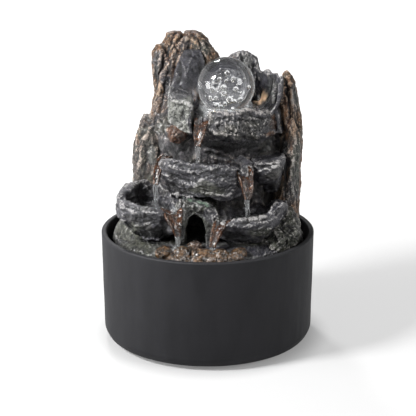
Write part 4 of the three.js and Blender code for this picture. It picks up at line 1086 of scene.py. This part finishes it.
# ---------------------------------------------------------------- turned pieces
def turned_tree():
    """A closed turned shell: the base mesh's points, (radius, 0, height), swept round an axis."""
    t = Tree("turned", {"Sides": ("NodeSocketInt", 96), "Rows": ("NodeSocketInt", 2),
                        "Axis": ("NodeSocketVector", (0.0, 0.0, 0.0)),
                        "Material": ("NodeSocketMaterial", None)})

    def sums(operation, first, second=0.0):
        return t.node("ShaderNodeMath", {"operation": operation}, {0: first, 1: second})

    grid = t.node("GeometryNodeMeshGrid", None,
                  {"Vertices X": sums("ADD", t.given("Sides"), 1.0), "Vertices Y": t.given("Rows")})
    number = t.node("GeometryNodeInputIndex")
    row = sums("MODULO", number, t.given("Rows"))
    column = sums("FLOOR", sums("DIVIDE", number, t.given("Rows")))
    turn = sums("DIVIDE", sums("MULTIPLY", column, 2 * math.pi), t.given("Sides"))
    outline = t.node("GeometryNodeSampleIndex", {"data_type": "FLOAT_VECTOR", "domain": "POINT"},
                     {"Geometry": t.given("Geometry"), "Value": t.node("GeometryNodeInputPosition"),
                      "Index": row})
    radius = t.node("ShaderNodeSeparateXYZ", None, {0: outline}, 0)
    height = t.node("ShaderNodeSeparateXYZ", None, {0: outline}, 2)
    round_spot = t.node("ShaderNodeCombineXYZ", None,
                        {0: sums("MULTIPLY", radius, sums("COSINE", turn)),
                         1: sums("MULTIPLY", radius, sums("SINE", turn)), 2: height})
    placed = t.node("ShaderNodeVectorMath", {"operation": "ADD"}, {0: round_spot, 1: t.given("Axis")})
    shell = t.node("GeometryNodeSetPosition", None, {"Geometry": grid, "Position": placed})
    t.end(t.node("GeometryNodeMergeByDistance", None, {"Geometry": shell, "Distance": 1e-6}))
    return t


TURNED = turned_tree()


def turned(name, profile, axis, sides, paint):
    """A turned piece from (radius, height) pairs in millimetres; outlines off the axis are closed."""
    if profile[0][0] > 0:
        profile = profile + profile[:1]
    outline = bpy.data.meshes.new(name)
    outline.from_pydata([(r * MM, 0, z * MM) for r, z in profile], [], [])
    piece = TURNED.grow(name, outline, Sides=sides, Rows=len(profile),
                        Axis=tuple(map(float, (*axis, 0))), Material=paint)
    faced_outward(piece.data)
    return piece


def rounded(profile, radius, steps=4):
    """The same profile with every corner turned into a small arc."""
    out = []
    for (ax, az), (bx, bz), (cx, cz) in zip(profile[-1:] + profile[:-1], profile, profile[1:] + profile[:1]):
        before, after = math.hypot(ax - bx, az - bz), math.hypot(cx - bx, cz - bz)
        if bx < 1e-6 or before < 1e-6 or after < 1e-6:
            out.append((bx, bz))
            continue
        cut = min(radius, before * 0.45, after * 0.45)
        start = (bx + (ax - bx) * cut / before, bz + (az - bz) * cut / before)
        end = (bx + (cx - bx) * cut / after, bz + (cz - bz) * cut / after)
        for k in range(steps + 1):
            t = k / steps
            out.append(tuple((1 - t) ** 2 * s + 2 * t * (1 - t) * m + t * t * e
                             for s, m, e in zip(start, (bx, bz), end)))
    return out


def spread(profile, most):
    """Extra points along long straight runs."""
    out = []
    for (ax, az), (bx, bz) in zip(profile, profile[1:] + profile[:1]):
        parts = max(1, math.ceil(math.hypot(bx - ax, bz - az) / most))
        if ax < 1e-6 and bx < 1e-6:
            parts = 1
        out += [(ax + (bx - ax) * k / parts, az + (bz - az) * k / parts) for k in range(parts)]
    return out


low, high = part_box("bowl")
rim_r, top_z, base_z = high.x / MM, high.z / MM, low.z / MM
foot_r = rim_r - 1.3
bowl_profile = [(0, base_z), (foot_r - 8, base_z), (foot_r - 3, base_z + 2), (foot_r, base_z + 8),
                (rim_r - 0.02, top_z - 1), (rim_r - 1, top_z), (rim_r - 4, top_z), (rim_r - 5, top_z - 1),
                (foot_r - 5.3, base_z + 8), (foot_r - 9, base_z + 5), (0, base_z + 5)]
bowl = turned("bowl_shell", spread(rounded(bowl_profile, 1.6), 4.0), (0, 0), 192, BOWL)
notch_low, notch_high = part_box("cord_notch_liner")
cutter = new_piece("notch_cutter", bpy.data.meshes.new("notch_cutter"))
shape = bmesh.new()
bmesh.ops.create_cube(shape, size=1)
for v in shape.verts:
    v.co = Vector(((notch_low.x - 0.0003) if v.co.x < 0 else (notch_high.x + 0.0003),
                   0.080 if v.co.y < 0 else 0.1, (notch_low.z - 0.0003) if v.co.z < 0 else 0.11))
shape.to_mesh(cutter.data)
shape.free()
cut = bowl.modifiers.new("notch", "BOOLEAN")
cut.operation, cut.solver, cut.object = "DIFFERENCE", "EXACT", cutter
bowl_mesh = settled(bowl)
bpy.data.objects.remove(cutter)
spots, normals = spots_of(bowl_mesh), outward(bowl_mesh)
angle = np.arctan2(spots[:, 1], spots[:, 0])
wave = cloudy(np.stack([np.cos(angle) * 3, np.sin(angle) * 3, spots[:, 2] / 0.04], axis=1), 5, 3)
radius = np.hypot(spots[:, 0], spots[:, 1])
set_spots(bowl_mesh, spots - normals * (np.clip(wave + 0.4, 0, 1) * 0.00022)[:, None])
rim_rub = np.exp(-((spots[:, 2] - top_z * MM) / 0.0016) ** 2)
foot_rub = np.exp(-((spots[:, 2] - base_z * MM - 0.003) / 0.003) ** 2) * (radius > 0.085)
put(bowl_mesh, "ridge", np.clip(rim_rub + foot_rub * 0.5, 0, 1))
smooth_shaded(bowl_mesh)
bowl_mesh.materials.clear()
bowl_mesh.materials.append(BOWL)
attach(bowl, "bowl_body")
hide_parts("bowl")

low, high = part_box("ball_seat")
axis = ((low.x + high.x) / 2, (low.y + high.y) / 2)
outer = (high.x - low.x) / 2 / MM - 0.7
base, top = low.z / MM, high.z / MM
ring_profile = [(19, base), (outer, base)]
for k in range(3):
    z = base + 1.2 + 3.7 * k
    ring_profile += [(outer, z), (outer + 0.7, z + 0.7), (outer + 0.7, z + 1.9), (outer, z + 2.6)]
ring_profile += [(outer, top), (19.4, top), (19, top - 0.6)]
ring = turned("ball_ring_clear", rounded(ring_profile, 0.3, 3), axis, 128, ACRYLIC)
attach(ring, "ball_ring")
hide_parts("ball_seat")


# ---------------------------------------------------------------- ball and bubbles
low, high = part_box("crystal_ball")
centre = (low + high) / 2
ball_radius = (high.x - low.x) / 2
steps = 72
ball_profile = [(ball_radius / MM * math.sin(math.pi * k / steps),
                 centre.z / MM - ball_radius / MM * math.cos(math.pi * k / steps)) for k in range(steps + 1)]
ball_profile[0], ball_profile[-1] = (0, ball_profile[0][1]), (0, ball_profile[-1][1])
ball = turned("glass_ball", ball_profile, (centre.x, centre.y), 144, GLASS)
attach(ball, "ball")
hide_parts("crystal_ball")


def bead_tree():
    """Small round beads, one at each point, sized by the point's own number."""
    t = Tree("beads", {"Size": ("NodeSocketFloat", 1.0), "Segments": ("NodeSocketInt", 16),
                       "Seed": ("NodeSocketInt", 1), "Material": ("NodeSocketMaterial", None)})
    bead = t.node("GeometryNodeMeshUVSphere", None,
                  {"Segments": t.given("Segments"), "Rings": 10, "Radius": 1.0})
    own = t.node("GeometryNodeInputNamedAttribute", {"data_type": "FLOAT"}, {"Name": "girth"})
    tall = t.node("FunctionNodeRandomValue", {"data_type": "FLOAT"},
                  {2: 0.85, 3: 1.2, "Seed": t.given("Seed")}, 1)
    size = t.node("ShaderNodeMath", {"operation": "MULTIPLY"}, {0: own, 1: t.given("Size")})
    height = t.node("ShaderNodeMath", {"operation": "MULTIPLY"}, {0: size, 1: tall})
    scale = t.node("ShaderNodeCombineXYZ", None, {0: size, 1: size, 2: height})
    t.end(t.node("GeometryNodeInstanceOnPoints", None,
                 {"Points": t.given("Geometry"), "Instance": bead, "Scale": scale}))
    return t


def strand_tree():
    """A stream of water along each line, its thickness following the line's own girth."""
    t = Tree("strand", {"Thickness": ("NodeSocketFloat", 1.0), "Sides": ("NodeSocketInt", 12),
                        "Material": ("NodeSocketMaterial", None)})
    line = t.node("GeometryNodeMeshToCurve", None, {0: t.given("Geometry")})
    own = t.node("GeometryNodeInputNamedAttribute", {"data_type": "FLOAT"}, {"Name": "girth"})
    girth = t.node("ShaderNodeMath", {"operation": "MULTIPLY"}, {0: own, 1: t.given("Thickness")})
    ring = t.node("GeometryNodeCurvePrimitiveCircle", None,
                  {"Resolution": t.given("Sides"), "Radius": 1.0})
    t.end(t.node("GeometryNodeCurveToMesh", None, {"Curve": line, "Profile Curve": ring,
                                                   "Scale": girth, "Fill Caps": True}))
    return t


def points_mesh(name, rows):
    """Loose points with a girth each, from (x, y, z, girth) rows in metres."""
    mesh = bpy.data.meshes.new(name)
    mesh.from_pydata([row[:3] for row in rows], [], [])
    put(mesh, "girth", np.array([row[3] for row in rows]))
    return mesh


def lines_mesh(name, lines):
    """Polylines with a girth at each point, from lists of (x, y, z, girth) in metres."""
    points, edges, girth = [], [], []
    for line in lines:
        start = len(points)
        points += [row[:3] for row in line]
        girth += [row[3] for row in line]
        edges += [(start + k, start + k + 1) for k in range(len(line) - 1)]
    mesh = bpy.data.meshes.new(name)
    mesh.from_pydata(points, edges, [])
    put(mesh, "girth", np.array(girth))
    return mesh


BEADS, STRANDS = bead_tree(), strand_tree()
rng = np.random.default_rng(7)

# Larger bubbles listed in the ball's own frame (right, back, up, radius, all in millimetres),
# then a cloud of fine ones under them.
large = [(0.5, 1, 7.2, 1.9), (-4.2, -2, 4.6, 1.7), (4.5, -3, 4.7, 1.7), (-1.7, -4, -0.5, 2.5),
         (-8.2, 0, -2.4, 2.0), (5.8, -2, -1.7, 2.0), (13.6, 1, -1.0, 1.4), (-1.4, -1, -4.4, 2.0),
         (2.0, -3, -8.3, 2.3), (8.5, -1, -8.4, 1.9), (-9.2, 0, -7.0, 1.4), (-6.4, -4, -6.8, 1.5),
         (-5.5, -2, -11.9, 2.4), (-2.8, -5, -12.2, 1.4), (5.1, -4, -9.0, 1.6), (11.2, 0, 4.4, 0.9),
         (-11.5, 3, 1.2, 1.0), (9.8, -6, -3.2, 0.9), (0.2, 4, 1.6, 1.2), (-3.5, 2, 9.8, 0.6),
         (5.0, -3, 10.4, 0.5), (8.0, 0, 7.8, 0.55), (3.4, 5, -13.0, 1.1), (-0.4, 6, -10.5, 1.3)]
rows = [(centre.x + x * MM, centre.y + y * MM, centre.z + z * MM, r * MM) for x, y, z, r in large]
taken = np.array(rows)
while len(rows) < 66:
    x, y, z = rng.normal(0, 1, 3) * (7.0, 6.0, 5.5) + (0.5, -0.5, -5.5)
    r = rng.uniform(0.25, 0.85)
    spot = np.array([centre.x + x * MM, centre.y + y * MM, centre.z + z * MM])
    gaps = np.linalg.norm(taken[:, :3] - spot, axis=1) - taken[:, 3] - r * MM
    if math.sqrt(x * x + y * y + z * z) < 19.5 and gaps.min() > 0.0003:
        rows.append((*spot, r * MM))
        taken = np.array(rows)
bubbles = BEADS.grow("ball_bubbles", points_mesh("ball_bubbles", rows), Size=1.0, Segments=18,
                     Seed=4, Material=BUBBLE)
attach(bubbles, "ball")


# ---------------------------------------------------------------- water
def end_of(node, side):
    """Where a spout lets go (side -1) or takes in (side 1) its water, on the channel's top."""
    spots = spots_of(frame["nodes"][node].data)
    key = spots[:, 2] if side < 0 else -spots[:, 1]
    near = spots[key <= key.min() + 0.0022]
    return Vector((near[:, 0].mean(), near[:, 1].mean(), near[:, 2].max()))


def fall(start, lip, tip, land, sway, thick, seed, bead=0.35):
    """One strand: down the channel, over its tip and down to height land."""
    run = []
    rand = np.random.default_rng(seed)
    phase = rand.uniform(0, 6.28, 3)
    for k in range(7):
        t = k / 7
        p = start.lerp(lip, min(1, t * 2)) if t < 0.5 else lip.lerp(tip, t * 2 - 1)
        run.append((p.x + sway * MM * (0.4 + t * 0.6), p.y, p.z + 0.0006, thick * MM * (0.8 + 0.2 * t)))
    drop = tip.z - land
    for k in range(1, 23):
        t = k / 22
        z = tip.z - drop * t
        forward = 0.0032 * math.sqrt(t)
        swing = math.sin(t * 7 + phase[0]) * 0.35 * MM
        girth = thick * (0.85 - 0.35 * t) * (1 + bead * math.sin(t * 23 + phase[1]) * t)
        run.append((tip.x + sway * MM * (1 - 0.3 * t) + swing, tip.y - forward, z, max(girth, 0.12) * MM))
    return run


levels = {}


def water_sheet(name, rocks, middle_x, middle_y, level, reach=0.05):
    """Standing water in a basin: a thin closed disc that runs just into the stone all round."""
    corners, sides = [], []
    for rock in rocks:
        start = len(corners)
        corners += [v.co.copy() for v in rock.data.vertices]
        sides += [[start + i for i in f.vertices] for f in rock.data.polygons]
    tree = BVHTree.FromPolygons(corners, sides)
    ring_count, rings = 72, 10
    edge = []
    for k in range(ring_count):
        turn = 2 * math.pi * k / ring_count
        way = Vector((math.cos(turn), math.sin(turn), 0))
        hit = tree.ray_cast(Vector((middle_x, middle_y, level)), way, reach)
        edge.append((hit[3] if hit[3] else reach * 0.45) + 0.0011)
    edge = np.minimum(np.array(edge), np.roll(np.array(edge), 1) + 0.004)
    points, faces = [(middle_x, middle_y, level)], []
    for i in range(1, rings + 1):
        for k in range(ring_count):
            turn = 2 * math.pi * k / ring_count
            r = edge[k] * i / rings
            ripple = 0.00022 * math.sin(r / 0.0016) * math.exp(-r / 0.012)
            points.append((middle_x + r * math.cos(turn), middle_y + r * math.sin(turn), level + ripple))
    faces += [(0, 1 + k, 1 + (k + 1) % ring_count) for k in range(ring_count)]
    for i in range(rings - 1):
        a, b = 1 + i * ring_count, 1 + (i + 1) * ring_count
        faces += [(a + k, b + k, b + (k + 1) % ring_count, a + (k + 1) % ring_count)
                  for k in range(ring_count)]
    upper = len(points)
    points += [(x, y, z - 0.0014) for x, y, z in points]
    faces += [tuple(upper + i for i in reversed(f)) for f in faces]
    rim = 1 + (rings - 1) * ring_count
    faces += [(rim + (k + 1) % ring_count, rim + k, upper + rim + k, upper + rim + (k + 1) % ring_count)
              for k in range(ring_count)]
    piece = new_piece(name, mesh_from(name, points, faces))
    faced_outward(piece.data)
    smooth_shaded(piece.data)
    piece.data.materials.append(WATER)
    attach(piece, "rockery")
    levels[name] = level
    return piece


def middle_of(node):
    a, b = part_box(node)
    return (a + b) / 2, a, b


mid, a, b = middle_of("middle_basin")
water_sheet("middle_water", [middle, back_wall], mid.x, mid.y - 0.002, b.z - 0.0085)
mid, a, b = middle_of("lower_left_basin")
water_sheet("lower_left_water", [low_left, bridge, middle, back_wall],
            mid.x - 0.002, mid.y + 0.001, a.z + 0.026)
mid, a, b = middle_of("lower_right_basin")
water_sheet("lower_right_water", [low_right, bridge, middle, back_wall],
            mid.x + 0.001, mid.y + 0.001, a.z + 0.0185)

deck_level = plinth_high.z - 0.001
landing = {"ball": levels["middle_water"], "middle_left": levels["lower_left_water"],
           "middle_right": levels["lower_right_water"], "lower_left": deck_level,
           "lower_right": deck_level}
lines, drops = [], []
for k, end in enumerate(SPOUTS):
    node = f"spout_{end}"
    a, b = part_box(node)
    start, tip = end_of(node, 1), end_of(node, -1)
    lip = start.lerp(tip, 0.45) + Vector((0, 0, (b.z - a.z) * 0.22))
    for j, (sway, thick) in enumerate([(-1.75, 0.55), (-0.2, 0.72), (1.6, 0.48)]):
        lines.append(fall(start, lip, tip, landing[end], sway, thick, 40 + 5 * k + j))
    for _ in range(26):
        t = rng.uniform(0, 1)
        away = rng.normal(0, 1, 2) * 2.6 * MM
        drops.append((tip.x + away[0], tip.y - 0.003 + away[1],
                      landing[end] + (tip.z - landing[end]) * t ** 3 * 0.7 + 0.0004,
                      rng.uniform(0.18, 0.55) * MM))
    for _ in range(10):
        turn, out = rng.uniform(0, 6.28), rng.uniform(2, 7) * MM
        drops.append((tip.x + out * math.cos(turn), tip.y - 0.003 + out * math.sin(turn),
                      landing[end] + rng.uniform(0.2, 1.4) * MM, rng.uniform(0.3, 0.8) * MM))
streams = STRANDS.grow("water_streams", lines_mesh("water_streams", lines), Thickness=1.25, Sides=12,
                       Material=STREAM)
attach(streams, "rockery")
splash = BEADS.grow("water_drops", points_mesh("water_drops", drops), Size=1.1, Segments=12, Seed=9,
                    Material=STREAM)
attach(splash, "rockery")


# ---------------------------------------------------------------- carried-over pieces
FINISH = {"black_rubber": RUBBER, "pump_black": PLASTIC, "grey_foam": FOAM, "white_ceramic": CERAMIC,
          "green_board": BOARD, "clear_tube": TUBE, "clear_acrylic": ACRYLIC, "lamp_warm": LAMP}
for part in frame["record"]["subparts"]:
    paint = FINISH.get(part["material_slot"])
    holder = frame["nodes"][part["node"]]
    if paint is not None and not holder.hide_render:
        for place in holder.material_slots:
            place.material = paint


# ---------------------------------------------------------------- floor, light, camera
floor = new_piece("floor", mesh_from("floor", [(-6, -6, 0), (6, -6, 0), (6, 6, 0), (-6, 6, 0)],
                                     [(0, 1, 2, 3)]))
floor_paint = Paint("studio_floor")
# The floor glows. Round the bowl's foot it is dimmed to a painted contact shadow, darkest out to 0.088 m and
# easing off by 0.115 m; beyond, it glows dim out to 0.25 m and rises to full white by 0.75 m.
reach = floor_paint.node("ShaderNodeVectorMath", {"operation": "LENGTH"}, {0: floor_paint.place}, 1)
level = floor_paint.mixed((0.44, 0.44, 0.44), (1.0, 1.0, 1.0), reach.between(0.25, 0.75))
level = floor_paint.mixed((0.20, 0.20, 0.20), level, reach.between(0.088, 0.115))
floor.data.materials.append(floor_paint.finish(base_color=(0.34, 0.34, 0.34), roughness=0.8,
                                               emission_color=level, emission_strength=1.0))

world = bpy.data.worlds.new("studio")
scene.world = world
world.use_nodes = True
sky = world.node_tree
seen = sky.nodes.new("ShaderNodeLightPath")
either = sky.nodes.new("ShaderNodeMath")
either.operation = "MAXIMUM"
level = sky.nodes.new("ShaderNodeMapRange")
level.inputs["To Min"].default_value, level.inputs["To Max"].default_value = 0.24, 1.0
sky.links.new(seen.outputs["Is Camera Ray"], either.inputs[0])
sky.links.new(seen.outputs["Is Transmission Ray"], either.inputs[1])
sky.links.new(either.outputs[0], level.inputs["Value"])
sky.links.new(level.outputs[0], sky.nodes["Background"].inputs[1])
sky.nodes["Background"].inputs[0].default_value = (1.0, 1.0, 1.0, 1)


def area_light(name, place, aim, size, power, through_glass=True):
    data = bpy.data.lights.new(name, "AREA")
    data.shape, data.size, data.energy = "DISK", size, power
    made = bpy.data.objects.new(name, data)
    made.location = place
    made.rotation_euler = (Vector(aim) - Vector(place)).to_track_quat("-Z", "Y").to_euler()
    made.visible_transmission = through_glass
    scene.collection.objects.link(made)


area_light("key", (-0.92, -0.46, 0.98), (0, 0, 0.14), 0.32, 31)
area_light("left", (-1.15, -0.25, 0.30), (0, 0, 0.1), 0.5, 9)
area_light("side", (0.85, -0.50, 0.60), (0, 0, 0.16), 0.42, 4.5)
area_light("rim", (-0.25, 0.85, 0.85), (0, 0, 0.2), 0.2, 6.5, False)

camera = bpy.data.objects.new("camera", bpy.data.cameras.new("camera"))
scene.collection.objects.link(camera)
height, away, tilt = 0.120, 1.2304, math.radians(17.28)
camera.location = (0, -away * math.cos(tilt), height + away * math.sin(tilt))
camera.rotation_euler = (math.pi / 2 - tilt, 0, 0)
camera.data.sensor_width = 36
camera.data.lens = 36 * 1380.5 / 416
camera.data.shift_x, camera.data.shift_y = 0.0007, -0.0063
scene.camera = camera
scene.view_settings.view_transform = "Standard"
